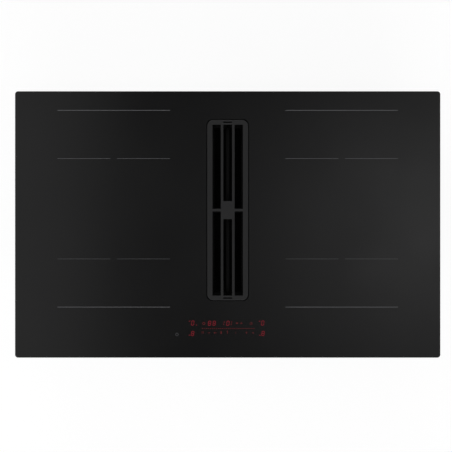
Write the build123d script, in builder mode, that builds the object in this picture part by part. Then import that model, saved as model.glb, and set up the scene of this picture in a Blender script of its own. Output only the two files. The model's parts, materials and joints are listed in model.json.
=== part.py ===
"""A downdraft induction cooktop: a black glass plate with four cooking zones and an air intake
between them, over a sheet-metal case with the coils and electronics and a plastic air box with
the grease filters, the blower and the duct outlet.

The origin is the centre of the glass outline at the level of the worktop that the glass rests on.
x runs to the cook's right, y towards the back wall and z up. Sizes are in millimetres.
"""

import os
from math import atan2, cos, degrees, radians, sin, sqrt

from build123d import *

os.makedirs("parts", exist_ok=True)

# ---------------------------------------------------------------- driving dimensions

# Glass plate and the seal under its edge
glass_w = 830.0
glass_d = 520.0
glass_t = 4.0
glass_corner_r = 6.0
glass_bevel = 0.6
gasket_t = 2.0
gasket_w = 10.0
gasket_inset = 4.0

# Printed zone markings
zone_x = 222.5  # centre of each pair of zones, left and right of the middle
zone_y = 30.75  # centre line between the front and the rear zones
zone_pitch = 196.0  # front zone centre to rear zone centre
zone_w = 219.4
zone_d = 188.0
mark_gap = 13.0  # gap in the middle of a zone's centre line
mark_w = 1.0
mark_broken_w = 0.6  # of the broken line in the middle of a zone
mark_t = 0.06

# Intake grille
intake_y = 28.0
grille_w = 80.0
grille_l = 352.0
grille_t = 7.0
grille_corner_r = 12.0
grille_gap = 1.5  # round the grille, to the edge of the hole in the glass
grille_proud = 1.2
grille_rim_side = 10.3
grille_rim_end = 9.1
grille_bar_w = 5.0
grille_slot_w = 16.2
grille_cross_w = 4.8
grille_hub_l = 35.0
grille_edge_r = 1.0
end_slit_w = 2.6
end_slit_inset = 3.1
pad_t = 1.2
pad_l = 18.0
pad_w = 5.0
pad_r = 1.5
pad_edge_gap = 1.0
pad_end_gap = 10.0

# Intake collar under the glass
collar_seal_t = 1.0
collar_seal_w = 8.0
collar_flange_w = 14.0
collar_ledge_w = 8.0
collar_ledge_t = 2.5
collar_wall = 2.5
collar_seal_back = 1.0  # from the hole's edge
collar_hole_h = 3.5  # of the screw holes, into the flange
collar_screw_share = 0.4  # of the collar's length, from its middle to the last screw
filter_drop = 13.0  # from the grille's ledge down to the filters' ledge
filter_lip_w = 3.0
filter_lip_t = 3.0
skirt_tail = 7.0  # skirt below the filters' ledge

# Grease filters
filter_clear = 0.5
filter_sheet = 1.0
filter_rim_t = 1.2
filter_basket_inset = 3.0  # from the rim's end to the basket's end wall
filter_h = 85.0
filter_pan_h = 14.0
filter_post_w = 7.0
mesh_t = 1.0
mesh_hole_w = 5.0
mesh_hole_h = 8.5
mesh_web = 2.2
filter_grip_w = 7.2
filter_grip_t = 3.0
filter_grip_lift = 4.0  # air under the grip bar
filter_corner_r = 3.0
filter_grip_r = 1.5
filter_grip_edge_r = 1.2
grip_foot_t = 3.0
grip_foot_h = 6.0  # below the rim, against the basket's end wall

# Sheet-metal case under the glass
case_w = 780.0
case_d = 470.0
case_h = 60.0
case_corner_r = 5.0
sheet_t = 1.0
adhesive_t = 0.5
adhesive_w = 7.0
frame_flange_w = 10.0
frame_skirt_h = 18.0
tray_fit = 0.15  # between the glass frame's skirt and the tray inside it
tray_top_gap = 2.0
cable_slot_w = 40.0  # hole in the case's floor over the terminal box
cable_slot_d = 24.0
cable_slot_r = 4.0
cable_slot_at = (20.0, -16.0)  # from the terminal box's middle
vent_low = 10.0  # above the case's underside
vent_slot_w = 4.0
vent_slot_h = 24.0
vent_pitch = 8.0
vent_count = 14

# Screws
screw_r = 2.0
screw_head_r = 3.8
screw_head_t = 2.2
screw_play = 0.1
screw_recess_t = 1.0
screw_recess_w = 1.1
screw_recess_l = 4.56
screw_chamfer = 0.66
frame_screw_x = (-320, -130, 130, 320)
frame_screw_y = (-80, 80)
grommet_offsets = ((-80, -88), (113, -87), (-82, 82))  # from the blower's axis
rear_grommet = (11, 110)  # from the volute's right wall and the blower's axis
rim_screw_y = (60, 150)
box_corner_in = (5.2, 4.0)  # from the inlet plate's corners to its screws
scroll_screw_angles = ((120, 165), (225, 258), (300, 335))  # for each quarter of the volute
spigot_screw_in = 12.0  # from the outlet's floor and roof
terminal_ear = 12.0

# Air box: intake shaft, blower volute, inlet plate and lower pan
air_wall = 2.5
shaft_inner_w = 124.0
shaft_inner_l = 344.0
shaft_gap = 0.5  # round the collar's skirt
shaft_flange_w = 12.0
shaft_flange_t = 3.0
shaft_screw_share = 0.42  # of the shaft's length, from its middle to the last screw
case_hole_gap = 1.0
box_flange_w = 8.0
outlet_flange_w = 12.0
outlet_flange_gap = 2.0  # under the case
box_joint_gap = 0.3
scroll_gap = 7.0  # from the shaft's flange to the volute wall
pan_h = 52.0
pan_panel_depth = 0.8
pan_panel_in = 14.0  # from the pan's edge to the panel
pan_panel_r = 8.0
throat_lip_h = 6.0
throat_lip_edge = 1.5
corner_r = 6.0
grommet_h = 6.0
grommet_r = 6.5
lug_r = 8.0
lug_t = 6.0
lug_reach = 16.0
blower_y = 30.0
scroll_r = 104.0
scroll_growth = 13.0  # the volute's radius grows by this each quarter turn
scroll_h = 83.0
discharge_inset = 22.0  # from the blower's axis to the near wall of the discharge
discharge_y = 165.0
throat_r = 66.0
throat_lip_r = 4.0

# Outlet spigot for flat duct
spigot_w = 216.0
spigot_h = 84.0
spigot_wall = 2.0
spigot_taper_l = 55.0
spigot_l = 22.0
spigot_flange_t = 3.0
spigot_r = 10.0
mouth_r = 2.0

# Blower motor and impeller
impeller_r = 92.0
impeller_h = 72.0
impeller_top_gap = 6.0
impeller_plate_t = 2.0
blade_count = 36
blade_w = 18.0
blade_t = 1.2
blade_sweep = ((1.0, 0.0), (0.5, 3.0), (0.0, 9.5))  # share of the blade inside the rim, and degrees round
rotor_skirt = 0.7  # share of the motor's height that the impeller's hub covers
impeller_ring = 0.4  # share of the blades' width that the lower ring covers
motor_flange_r = 42.0
motor_flange_t = 4.0
rotor_r = 44.0
rotor_h = 42.0
rotor_wall = 2.5
rotor_gap = 1.0
magnet_t = 3.5
air_gap = 1.5
stator_teeth = 12
shaft_r = 4.0
shaft_play = 0.04
bearing_r = 11.0
bearing_h = 7.0
bearing_tube_wall = 2.0
tube_clear = 4.0  # from the rotor's inner face to the bearing tube
stack_clear_low = 8.0  # from the rotor's inner face to the stator
stack_clear_high = 7.0
motor_screw_at = 34.0  # from the axis
rotor_vent_at = 26.0
rotor_vent_r = 5.0
rotor_vents = 6
stator_yoke = 5.0
stator_tip = 3.0
tooth_w = 5.0
tooth_gap = 4.0
winding_gap = 2.0
winding_extra = 3.0

# Drip tray
drip_w = 112.0
drip_l = 300.0
drip_h = 16.0
drip_wall = 2.0
drip_runner_h = 2.0
drip_runner_w = 4.0
drip_runner_x = 40.0
drip_guide_t = 2.5
drip_guide_short = 20.0  # of the guides, against the tray
drip_lip_w = 7.0  # over the tray's edge
drip_lip_t = 1.5
drip_slot_gap = 1.0
drip_head = 1.0  # above the tray
drip_play = 0.3
drip_front_w = 126.0
drip_front_h = 30.0
drip_front_t = 3.0
drip_front_up = 1.5  # above the pan's underside
drip_pull_w = 78.4
drip_pull_h = 9.0
drip_pull_d = 12.0

# Induction coils
coil_r = 86.0  # half the depth of a coil across its round ends
coil_straight = 24.0
coil_inner_r = 22.0
litz_w = 2.4
litz_h = 2.8
litz_pitch = 3.2
mica_t = 0.8
former_t = 1.5
ferrite_t = 5.0
ferrite_w = 13.0
ferrite_l = 52.0
buffer_h = 7.5
buffer_r = 5.0
carrier_t = 1.5
carrier_w = 250.0
carrier_d = 400.0
carrier_foot_w = 12.0
sensor_r = 4.0
bridge_w = 16.0
former_rim = 2.0  # round the coil
former_hole_in = 4.0  # inside the coil's inner edge
ferrite_start = 4.0  # outside the coil's inner edge
ferrite_angles = (0, 38, 90, 142, 180, 218, 270, 322)
buffer_in = (26.0, 28.0)  # from the coil's edge, across and along
buffer_hole_r = 2.0
carrier_leg_w = 24.0
carrier_leg_in = 16.0  # from the carrier's edge to a leg's middle
carrier_r = 4.0

# Power electronics
board_t = 1.6
board_w = 200.0
board_d = 210.0
board_y = 20.0
standoff_h = 5.4
standoff_r = 3.0
standoff_in = 8.0  # from the board's edge
heat_sink_w = 44.0
heat_sink_l = 150.0
heat_sink_h = 26.0
fin_t = 1.6
fin_count = 8
heat_sink_base_t = 3.0
heat_sink_at = (27.0, -20.0)  # outward and back, from the board's middle
capacitor_r = 11.0
capacitor_h = 24.0
capacitor_at = -62.0
capacitor_end = 60.0
film_capacitor = (34.0, 16.0, 22.0)
film_capacitor_x = (-20.0, 26.0)
film_capacitor_y = 80.0
choke_r = 17.0
choke_h = 14.0
choke_hole_r = 7.65
choke_x = -24.0
choke_y = (-60.0, 5.0)

# Cooling fans
fan_x = 250.0
fan_y = -165.0
fan_side = 80.0
fan_h = 20.0
fan_bore_r = 37.5
fan_hub_r = 17.0
fan_tip_gap = 1.5
fan_base_t = 2.5
fan_pin_r = 1.5
fan_play = 0.05
fan_blades = 7
fan_blade_t = 1.4
fan_blade_w = 20.0
fan_blade_tilt = 35.0
fan_root = 3.0  # of each blade inside the hub
fan_corner_r = 3.0
fan_strut_w = 4.0
fan_strut_reach = 3.0  # into the frame
fan_under_gap = 1.0
fan_top_gap = 1.5
grille_slot_pitch = 8.0
grille_slot_gap = 4.0

# Touch control under the glass
touch_y = -203.0
touch_w = 204.0
touch_d = 52.0
touch_h = 11.0
touch_wall = 2.0
touch_shelf = 4.0
display_h = 2.9
touch_corner_r = 3.0
touch_leg_r = 5.0
touch_leg_in = 14.0  # from the holder's end

# Supply terminal box
terminal_x = -270.0
terminal_y = 185.0
terminal_w = 96.0
terminal_d = 70.0
terminal_h = 30.0
terminal_wall = 2.0
entry_plate_gap = 0.1  # between the box's walls and the plate that holds the gland
lid_t = 2.5
lid_play = 0.3
lid_barrel_r = 3.2
lid_barrel_l = 56.0
lid_pin_r = 1.5
lid_pin_play = 0.05
lid_ear_w = 8.0
gland_r = 5.5
gland_wall = 3.0
gland_l = 16.0
gland_nut_w = 19.0
block_w = 62.0
block_d = 20.0
block_h = 18.0
block_at = (-8.0, 8.0)  # from the box's middle
block_hole_r = 2.0
block_hole_h = 8.0
block_hole_in = 7.0
terminal_ear_d = 20.0
lid_ear_h = 8.0
lid_hinge_gap = 0.8  # from the box's front to the lid's barrel
gland_nut_t = 6.0
gland_nut_inner_t = 3.0

# Worktop clamps
clamp_y = 150.0
clamp_axis_out = 7.5  # from the case wall to the clamp screw
clamp_lug_w = 18.0
clamp_lug_t = 2.0
clamp_lug_h = 14.0
clamp_lug_out = 6.0  # past the clamp screw
clamp_lug_drop = 3.0  # below the glass frame's skirt
clamp_boss_h = 8.0
clamp_tip_t = 3.0
clamp_screw_l = 52.0
clamp_claw_l = 42.0
clamp_claw_w = 11.0
clamp_claw_t = 3.0
clamp_tip_h = 4.0
clamp_thread_play = 0.08
clamp_grip_z = -44.0  # top of the claws, for a worktop about 40 thick

# ---------------------------------------------------------------- levels and derived places

glass_under = gasket_t
glass_top = glass_under + glass_t
grille_top = glass_top + grille_proud
grille_under = grille_top - grille_t
ledge_top = grille_under - pad_t
collar_top = glass_under - collar_seal_t
collar_under = ledge_top - collar_ledge_t
filter_seat = ledge_top - filter_drop
skirt_under = filter_seat - filter_lip_t - skirt_tail

hole_w = grille_w + 2 * grille_gap
hole_l = grille_l + 2 * grille_gap
hole_r = grille_corner_r  # the same, so that the gap is widest at the corners
opening_w = grille_w - 2 * collar_ledge_w
opening_l = grille_l - 2 * collar_ledge_w
throat_w = opening_w - 2 * filter_lip_w
throat_l = opening_l - 2 * filter_lip_w
skirt_w = opening_w + 2 * collar_wall
skirt_l = opening_l + 2 * collar_wall
intake = (0, intake_y)

case_under = glass_under - case_h
floor_top = case_under + sheet_t
flange_top = glass_under - adhesive_t
flange_under = flange_top - sheet_t
tray_w = case_w - 2 * (sheet_t + tray_fit)
tray_d = case_d - 2 * (sheet_t + tray_fit)
tray_top = flange_under - tray_top_gap

shaft_w = shaft_inner_w + 2 * air_wall
shaft_l = shaft_inner_l + 2 * air_wall
volute_top = case_under - grommet_h
scroll_top = volute_top - air_wall
inlet_top = scroll_top - scroll_h
box_split = inlet_top - air_wall
pan_under = box_split - pan_h
pan_floor = pan_under + air_wall

blower_x = shaft_w / 2 + box_flange_w + scroll_gap + air_wall + scroll_r
scroll_right = blower_x + scroll_growth + scroll_r + 2 * scroll_growth
scroll_front = blower_y - scroll_r - scroll_growth
discharge_left = blower_x + discharge_inset
discharge_mid = (discharge_left + scroll_right) / 2
outlet_rim = air_wall + outlet_flange_w
outlet_flange_top = case_under - outlet_flange_gap
inlet_left = shaft_w / 2 + box_flange_w + box_joint_gap
inlet_right = scroll_right + air_wall + box_flange_w
inlet_front = scroll_front - air_wall - box_flange_w

pan_front = intake_y - shaft_l / 2 - box_flange_w
drip_under = pan_floor + drip_runner_h + drip_play

STAND = (Align.CENTER, Align.CENTER, Align.MIN)
HANG = (Align.CENTER, Align.CENTER, Align.MAX)


# ---------------------------------------------------------------- helpers


def slab(width, depth, low, high, corner=0.0, at=(0, 0), mode=Mode.ADD):
    """Adds an upright block with rounded corners between two heights to the part being built."""
    with BuildSketch(Plane.XY.offset(low)) as outline:
        with Locations(at):
            if corner > 0:
                RectangleRounded(width, depth, corner)
            else:
                Rectangle(width, depth)
    extrude(outline.sketch, amount=high - low, mode=mode)


def span(x_low, x_high, y_low, y_high, low, high, mode=Mode.ADD):
    """Adds a plain block given by its limits along each axis."""
    middle = ((x_low + x_high) / 2, (y_low + y_high) / 2)
    slab(x_high - x_low, y_high - y_low, low, high, at=middle, mode=mode)


def post(radius, low, high, at=(0, 0), mode=Mode.ADD):
    """Adds an upright round post, or cuts a round hole, between two heights."""
    with Locations((at[0], at[1], low)):
        Cylinder(radius, high - low, align=STAND, mode=mode)


def bar(start, end, width, low, high, mode=Mode.ADD):
    """Adds an upright bar with round ends that runs from one point to another."""
    middle = ((start[0] + end[0]) / 2, (start[1] + end[1]) / 2)
    run_x = end[0] - start[0]
    run_y = end[1] - start[1]
    with BuildSketch(Plane.XY.offset(low)) as outline:
        with Locations(Location(middle, degrees(atan2(run_y, run_x)))):
            SlotCenterToCenter(sqrt(run_x**2 + run_y**2), width)
    extrude(outline.sketch, amount=high - low, mode=mode)


def write(builder, name):
    """Labels a finished piece and writes it to its own file."""
    builder.part.label = name
    export_step(builder.part, f"parts/{name}.step")


def make_screw(length):
    """A cross-recessed pan-head screw with its head's underside at z 0 and its shank pointing up."""
    with BuildPart() as screw:
        Cylinder(screw_r, length, align=STAND)
        Cylinder(screw_head_r, screw_head_t, align=HANG)
        chamfer(screw.faces().sort_by(Axis.Z)[0].edges(), screw_chamfer)
        with Locations((0, 0, -screw_head_t)):
            Box(screw_recess_l, screw_recess_w, screw_recess_t, align=STAND, mode=Mode.SUBTRACT)
            Box(screw_recess_w, screw_recess_l, screw_recess_t, align=STAND, mode=Mode.SUBTRACT)
    return screw.part


def along(low, high, count):
    """Evenly spaced values from low to high."""
    return [low + (high - low) * i / (count - 1) for i in range(count)]


# ---------------------------------------------------------------- glass plate

with BuildPart() as glass_plate:
    slab(glass_w, glass_d, glass_under, glass_top, glass_corner_r)
    top_edges = glass_plate.faces().sort_by(Axis.Z)[-1].edges()
    bottom_edges = glass_plate.faces().sort_by(Axis.Z)[0].edges()
    chamfer(top_edges + bottom_edges, glass_bevel)
    slab(hole_w, hole_l, glass_under, glass_top, hole_r, intake, Mode.SUBTRACT)
write(glass_plate, "glass_plate")

# The enamel lines: a full line along the outer edge of each zone and a broken one through its middle.
with BuildPart() as zone_markings:
    for side in (-1, 1):
        for row in (-1, 1):
            centre_y = zone_y + row * zone_pitch / 2
            outer_y = centre_y + row * zone_d / 2
            slab(zone_w, mark_w, glass_top, glass_top + mark_t, at=(side * zone_x, outer_y))
            half_l = (zone_w - mark_gap) / 2
            for half in (-1, 1):
                half_x = side * zone_x + half * (mark_gap + half_l) / 2
                slab(half_l, mark_broken_w, glass_top, glass_top + mark_t, at=(half_x, centre_y))
write(zone_markings, "zone_markings")

with BuildPart() as worktop_gasket:
    gasket_ow = glass_w - 2 * gasket_inset
    gasket_od = glass_d - 2 * gasket_inset
    slab(gasket_ow, gasket_od, 0, gasket_t, glass_corner_r)
    slab(gasket_ow - 2 * gasket_w, gasket_od - 2 * gasket_w, 0, gasket_t, mode=Mode.SUBTRACT)
write(worktop_gasket, "worktop_gasket")

# ---------------------------------------------------------------- intake grille

inner_w = grille_w - 2 * grille_rim_side
inner_l = grille_l - 2 * grille_rim_end
middle_slot_w = inner_w - 2 * grille_slot_w - 2 * grille_bar_w
side_slot_x = middle_slot_w / 2 + grille_bar_w + grille_slot_w / 2
side_slot_l = (inner_l - grille_cross_w) / 2
middle_slot_l = (inner_l - grille_hub_l) / 2

with BuildPart() as intake_grille:
    slab(grille_w, grille_l, grille_under, grille_top, grille_corner_r, intake)
    fillet(intake_grille.faces().sort_by(Axis.Z)[-1].edges(), grille_edge_r)
    for end in (-1, 1):
        slot_y = intake_y + end * (grille_cross_w + side_slot_l) / 2
        hub_y = intake_y + end * (grille_hub_l + middle_slot_l) / 2
        for side in (-1, 1):
            place = (side * side_slot_x, slot_y)
            slab(grille_slot_w, side_slot_l, grille_under, grille_top, at=place, mode=Mode.SUBTRACT)
        slab(middle_slot_w, middle_slot_l, grille_under, grille_top, at=(0, hub_y), mode=Mode.SUBTRACT)
        slit_y = intake_y + end * (grille_l / 2 - end_slit_inset - end_slit_w / 2)
        slab(middle_slot_w, end_slit_w, grille_under, grille_top, at=(0, slit_y), mode=Mode.SUBTRACT)
write(intake_grille, "intake_grille")

pad_x = (grille_w - pad_w) / 2 - pad_edge_gap
pad_y = grille_l / 2 - grille_corner_r - pad_l / 2 - pad_end_gap
with BuildPart() as grille_pads:
    for side in (-1, 1):
        for end in (-1, 0, 1):
            slab(pad_w, pad_l, ledge_top, grille_under, pad_r, (side * pad_x, intake_y + end * pad_y))
write(grille_pads, "grille_pads")

# ---------------------------------------------------------------- intake collar

collar_w = hole_w + 2 * collar_flange_w
collar_l = hole_l + 2 * collar_flange_w
collar_r = hole_r + collar_flange_w
collar_screw_x = hole_w / 2 + collar_flange_w / 2
collar_screw_y = collar_l * collar_screw_share
collar_screw_places = [
    (side * collar_screw_x, intake_y + y)
    for side in (-1, 1)
    for y in along(-collar_screw_y, collar_screw_y, 4)
]

with BuildPart() as intake_collar:
    slab(collar_w, collar_l, collar_under, collar_top, collar_r, intake)
    slab(skirt_w, skirt_l, skirt_under, collar_under, at=intake)
    slab(hole_w, hole_l, ledge_top, collar_top, hole_r, intake, Mode.SUBTRACT)
    slab(opening_w, opening_l, filter_seat, ledge_top, at=intake, mode=Mode.SUBTRACT)
    slab(throat_w, throat_l, filter_seat - filter_lip_t, filter_seat, at=intake, mode=Mode.SUBTRACT)
    slab(opening_w, opening_l, skirt_under, filter_seat - filter_lip_t, at=intake, mode=Mode.SUBTRACT)
    for place in collar_screw_places:
        post(screw_r + screw_play, collar_under, collar_under + collar_hole_h, place, Mode.SUBTRACT)
write(intake_collar, "intake_collar")

with BuildPart() as collar_seal:
    seal_w = hole_w + 2 * collar_seal_w
    seal_l = hole_l + 2 * collar_seal_w
    slab(seal_w, seal_l, collar_top, glass_under, hole_r + collar_seal_w, intake)
    back = 2 * collar_seal_back
    slab(
        hole_w + back, hole_l + back, collar_top, glass_under, hole_r + collar_seal_back, intake,
        Mode.SUBTRACT,
    )
write(collar_seal, "collar_seal")

# ---------------------------------------------------------------- grease filters

filter_rim_w = opening_w - 2 * filter_clear
filter_rim_l = opening_l / 2 - 2 * filter_clear
basket_w = throat_w - 2 * filter_clear
basket_l = filter_rim_l - 2 * filter_basket_inset - filter_lip_w
basket_under = filter_seat - filter_h
hollow_w = basket_w - 2 * filter_sheet
hollow_l = basket_l - 2 * filter_sheet
window_l = basket_l - 2 * filter_post_w
window_low = basket_under + filter_pan_h
window_high = filter_seat - filter_post_w


def grease_filter(end, name):
    """One lift-out basket: a pressed frame with a closed pan, two perforated sides and a grip bar."""
    centre = (0, intake_y + end * opening_l / 4)
    basket_at = (0, centre[1] - end * filter_lip_w / 2)
    with BuildPart() as frame:
        slab(filter_rim_w, filter_rim_l, filter_seat, filter_seat + filter_rim_t, filter_corner_r, centre)
        slab(basket_w, basket_l, basket_under, filter_seat, at=basket_at)
        slab(
            hollow_w, hollow_l, basket_under + filter_sheet, filter_seat + filter_rim_t,
            at=basket_at, mode=Mode.SUBTRACT,
        )
        slab(basket_w, window_l, window_low, window_high, at=basket_at, mode=Mode.SUBTRACT)
    write(frame, f"filter_frame_{name}")

    mesh_l = window_l + filter_post_w
    mesh_h = window_high - window_low + filter_post_w
    columns = int((mesh_l - mesh_web) / (mesh_hole_w + mesh_web))
    rows = int((mesh_h - mesh_web) / (mesh_hole_h + mesh_web))
    with BuildPart() as mesh:
        for side in (-1, 1):
            wall_x = side * (hollow_w / 2)
            wall_z = (window_low + window_high) / 2
            wall = Plane((wall_x, basket_at[1], wall_z), x_dir=(0, 1, 0), z_dir=(-side, 0, 0))
            with BuildSketch(wall) as panel:
                Rectangle(mesh_l, mesh_h)
                with GridLocations(mesh_hole_w + mesh_web, mesh_hole_h + mesh_web, columns, rows):
                    Rectangle(mesh_hole_w, mesh_hole_h, mode=Mode.SUBTRACT)
            extrude(panel.sketch, amount=mesh_t)
    write(mesh, f"filter_mesh_{name}")

    grip_low = filter_seat + filter_rim_t + filter_grip_lift
    with BuildPart() as grip:
        slab(filter_grip_w, hollow_l, grip_low, grip_low + filter_grip_t, filter_grip_r, basket_at)
        fillet(grip.faces().sort_by(Axis.Z)[-1].edges(), filter_grip_edge_r)
        for foot in (-1, 1):
            foot_y = basket_at[1] + foot * (hollow_l - grip_foot_t) / 2
            foot_top = grip_low + filter_grip_t / 3
            slab(filter_grip_w, grip_foot_t, filter_seat - grip_foot_h, foot_top, at=(0, foot_y))
    write(grip, f"filter_grip_{name}")


grease_filter(-1, "front")
grease_filter(1, "rear")

# ---------------------------------------------------------------- screw places

UP = (0, 0, 0)
DOWN = (180, 0, 0)
BACK = (-90, 0, 0)
FORTH = (90, 0, 0)
RIGHT = (0, 90, 0)
LEFT = (0, -90, 0)

frame_screw_z = flange_top - frame_skirt_h / 2 - 1
frame_spots = []
for x in frame_screw_x:
    frame_spots.append(Location((x, -case_d / 2, frame_screw_z), BACK))
    frame_spots.append(Location((x, case_d / 2, frame_screw_z), FORTH))
for y in frame_screw_y:
    frame_spots.append(Location((-case_w / 2, y, frame_screw_z), RIGHT))
    frame_spots.append(Location((case_w / 2, y, frame_screw_z), LEFT))

collar_spots = [Location((x, y, collar_under - air_wall), UP) for x, y in collar_screw_places]

shaft_flange_under = case_under - shaft_flange_t
shaft_screw_x = shaft_w / 2 + shaft_flange_w / 2
floor_screw_y = shaft_l * shaft_screw_share
floor_spots = [
    Location((side * shaft_screw_x, intake_y + y, shaft_flange_under), UP)
    for side in (-1, 1)
    for y in along(-floor_screw_y, floor_screw_y, 4)
]

grommet_places = [(blower_x + x, blower_y + y) for x, y in grommet_offsets]
grommet_places.append((scroll_right + rear_grommet[0], blower_y + rear_grommet[1]))
grommet_spots = [Location((x, y, floor_top), DOWN) for x, y in grommet_places]

box_screw_x = shaft_w / 2 + box_flange_w / 2
box_screw_end = shaft_l / 2 + box_flange_w / 2
flange_mid = box_flange_w / 2
edge = air_wall + flange_mid
box_spots = [
    Location((-box_screw_x, intake_y + y, inlet_top), DOWN) for y in along(-box_screw_end, box_screw_end, 4)
]
side_rows = (
    intake_y - box_screw_end, inlet_front - flange_mid, discharge_y + flange_mid, intake_y + box_screw_end,
)
for y in side_rows:
    box_spots.append(Location((box_screw_x, y, inlet_top), DOWN))
plate_screw_x, plate_screw_y = box_corner_in
for place in (
    (inlet_left + plate_screw_x, inlet_front + plate_screw_y),
    (inlet_right - flange_mid, inlet_front + plate_screw_y),
    (inlet_left + plate_screw_x, discharge_y - plate_screw_y),
    (discharge_left - outlet_rim - screw_head_r - 1.5, discharge_y - plate_screw_y),
):
    box_spots.append(Location((place[0], place[1], inlet_top), DOWN))
rim_spots = [Location((inlet_right - flange_mid, y, inlet_top + air_wall), DOWN) for y in rim_screw_y]

scroll_spots = []
for quarter, angles in enumerate(scroll_screw_angles):
    centre_x = blower_x + min(quarter, 1) * scroll_growth
    centre_y = blower_y + (scroll_growth if quarter == 2 else 0)
    ring_r = scroll_r + quarter * scroll_growth + edge
    for angle in angles:
        x = centre_x + ring_r * cos(radians(angle))
        y = centre_y + ring_r * sin(radians(angle))
        scroll_spots.append(Location((x, y, inlet_top + air_wall), DOWN))

outlet_screw_out = air_wall + outlet_flange_w - screw_head_r - 1
motor_screw_in = motor_screw_at / sqrt(2)
motor_spots = [
    Location((blower_x + x * motor_screw_in, blower_y + y * motor_screw_in, volute_top), DOWN)
    for x in (-1, 1)
    for y in (-1, 1)
]
spigot_spots = [
    Location((x, discharge_y + spigot_flange_t, z), FORTH)
    for x in (discharge_left - outlet_screw_out, scroll_right + outlet_screw_out)
    for z in (inlet_top + spigot_screw_in, scroll_top - spigot_screw_in)
]
terminal_spots = [
    Location((terminal_x + side * (terminal_w + terminal_ear) / 2, terminal_y, case_under - lid_t), UP)
    for side in (-1, 1)
]


def drill(spots, depth):
    """Cuts clearance holes for the screws at these spots."""
    with Locations(*spots):
        Cylinder(screw_r + screw_play, depth, align=STAND, mode=Mode.SUBTRACT)


# ---------------------------------------------------------------- frame and case

with BuildPart() as glass_frame:
    flange_w = case_w + 2 * frame_flange_w
    flange_d = case_d + 2 * frame_flange_w
    slab(flange_w, flange_d, flange_under, flange_top, case_corner_r)
    slab(case_w, case_d, flange_top - frame_skirt_h, flange_under, case_corner_r)
    inner_r = case_corner_r - sheet_t
    slab(
        case_w - 2 * sheet_t, case_d - 2 * sheet_t, flange_top - frame_skirt_h, flange_top, inner_r,
        mode=Mode.SUBTRACT,
    )
    drill(frame_spots, 4)
write(glass_frame, "glass_frame")

with BuildPart() as glass_adhesive:
    bead_w = flange_w - 3
    bead_d = flange_d - 3
    slab(bead_w, bead_d, flange_top, glass_under, case_corner_r)
    slab(bead_w - 2 * adhesive_w, bead_d - 2 * adhesive_w, flange_top, glass_under, mode=Mode.SUBTRACT)
write(glass_adhesive, "glass_adhesive")

tray_r = case_corner_r - sheet_t - tray_fit
clamp_wall = tray_w / 2
clamp_x = clamp_wall + clamp_axis_out
lug_top = flange_top - frame_skirt_h - clamp_lug_drop
clamp_places = [(side_x * clamp_x, side_y * clamp_y) for side_x in (-1, 1) for side_y in (-1, 1)]

with BuildPart() as case_tray:
    slab(tray_w, tray_d, case_under, tray_top, tray_r)
    walls = 2 * sheet_t
    slab(tray_w - walls, tray_d - walls, floor_top, tray_top, tray_r - sheet_t, mode=Mode.SUBTRACT)
    hole_gap = 2 * case_hole_gap
    slab(shaft_w + hole_gap, shaft_l + hole_gap, case_under, floor_top, 2, intake, Mode.SUBTRACT)
    cable_at = (terminal_x + cable_slot_at[0], terminal_y + cable_slot_at[1])
    slab(cable_slot_w, cable_slot_d, case_under, floor_top, cable_slot_r, cable_at, Mode.SUBTRACT)
    # air inlets under the two cooling fans
    slot_count = int(2 * fan_bore_r / grille_slot_pitch)
    for side in (-1, 1):
        for offset_x in along(-(slot_count - 1) / 2, (slot_count - 1) / 2, slot_count):
            slot_x = offset_x * grille_slot_pitch
            slot_l = 2 * sqrt((fan_bore_r - 2) ** 2 - slot_x**2)
            place = (side * fan_x + slot_x, fan_y)
            slab(grille_slot_gap, slot_l, case_under, floor_top, 1.9, place, Mode.SUBTRACT)
    # exhaust slots in the rear wall
    for side in (-1, 1):
        for step in along(-(vent_count - 1) / 2, (vent_count - 1) / 2, vent_count):
            slot_x = side * fan_x + step * vent_pitch
            low = case_under + vent_low
            wall_at = (slot_x, tray_d / 2)
            slab(vent_slot_w, 6 * sheet_t, low, low + vent_slot_h, at=wall_at, mode=Mode.SUBTRACT)
    # welded lugs that carry the worktop clamps
    for x, y in clamp_places:
        out = 1 if x > 0 else -1
        plate_x = out * (clamp_wall + clamp_lug_t / 2)
        slab(clamp_lug_t, clamp_lug_w, lug_top - clamp_lug_h, lug_top, at=(plate_x, y))
        reach = clamp_axis_out + clamp_lug_out
        slab(reach, clamp_lug_w, lug_top - clamp_lug_t, lug_top, at=(out * (clamp_wall + reach / 2), y))
        post(screw_r + screw_play, lug_top - clamp_lug_t, lug_top, (x, y), Mode.SUBTRACT)
    drill(frame_spots, 4)
    drill(floor_spots, 6)
    drill(grommet_spots, 2)
    drill(terminal_spots, 6)
write(case_tray, "case_tray")

# ---------------------------------------------------------------- air box


def scroll_outline(grow, back, height):
    """The volute seen from above, grown outward, with its discharge end at y = back."""
    near_x = discharge_left - grow
    first_r = scroll_r + grow
    rise = sqrt(first_r**2 - (near_x - blower_x) ** 2)
    start = degrees(atan2(rise, near_x - blower_x))
    right = scroll_right + grow
    shifted_x = blower_x + scroll_growth
    shifted_y = blower_y + scroll_growth
    with BuildSketch(Plane.XY.offset(height)) as outline:
        with BuildLine():
            CenterArc((blower_x, blower_y), first_r, start, 180 - start)
            CenterArc((shifted_x, blower_y), first_r + scroll_growth, 180, 90)
            CenterArc((shifted_x, shifted_y), first_r + 2 * scroll_growth, 270, 90)
            Polyline((right, shifted_y), (right, back), (near_x, back), (near_x, blower_y + rise))
        make_face()
    return outline.sketch


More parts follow.
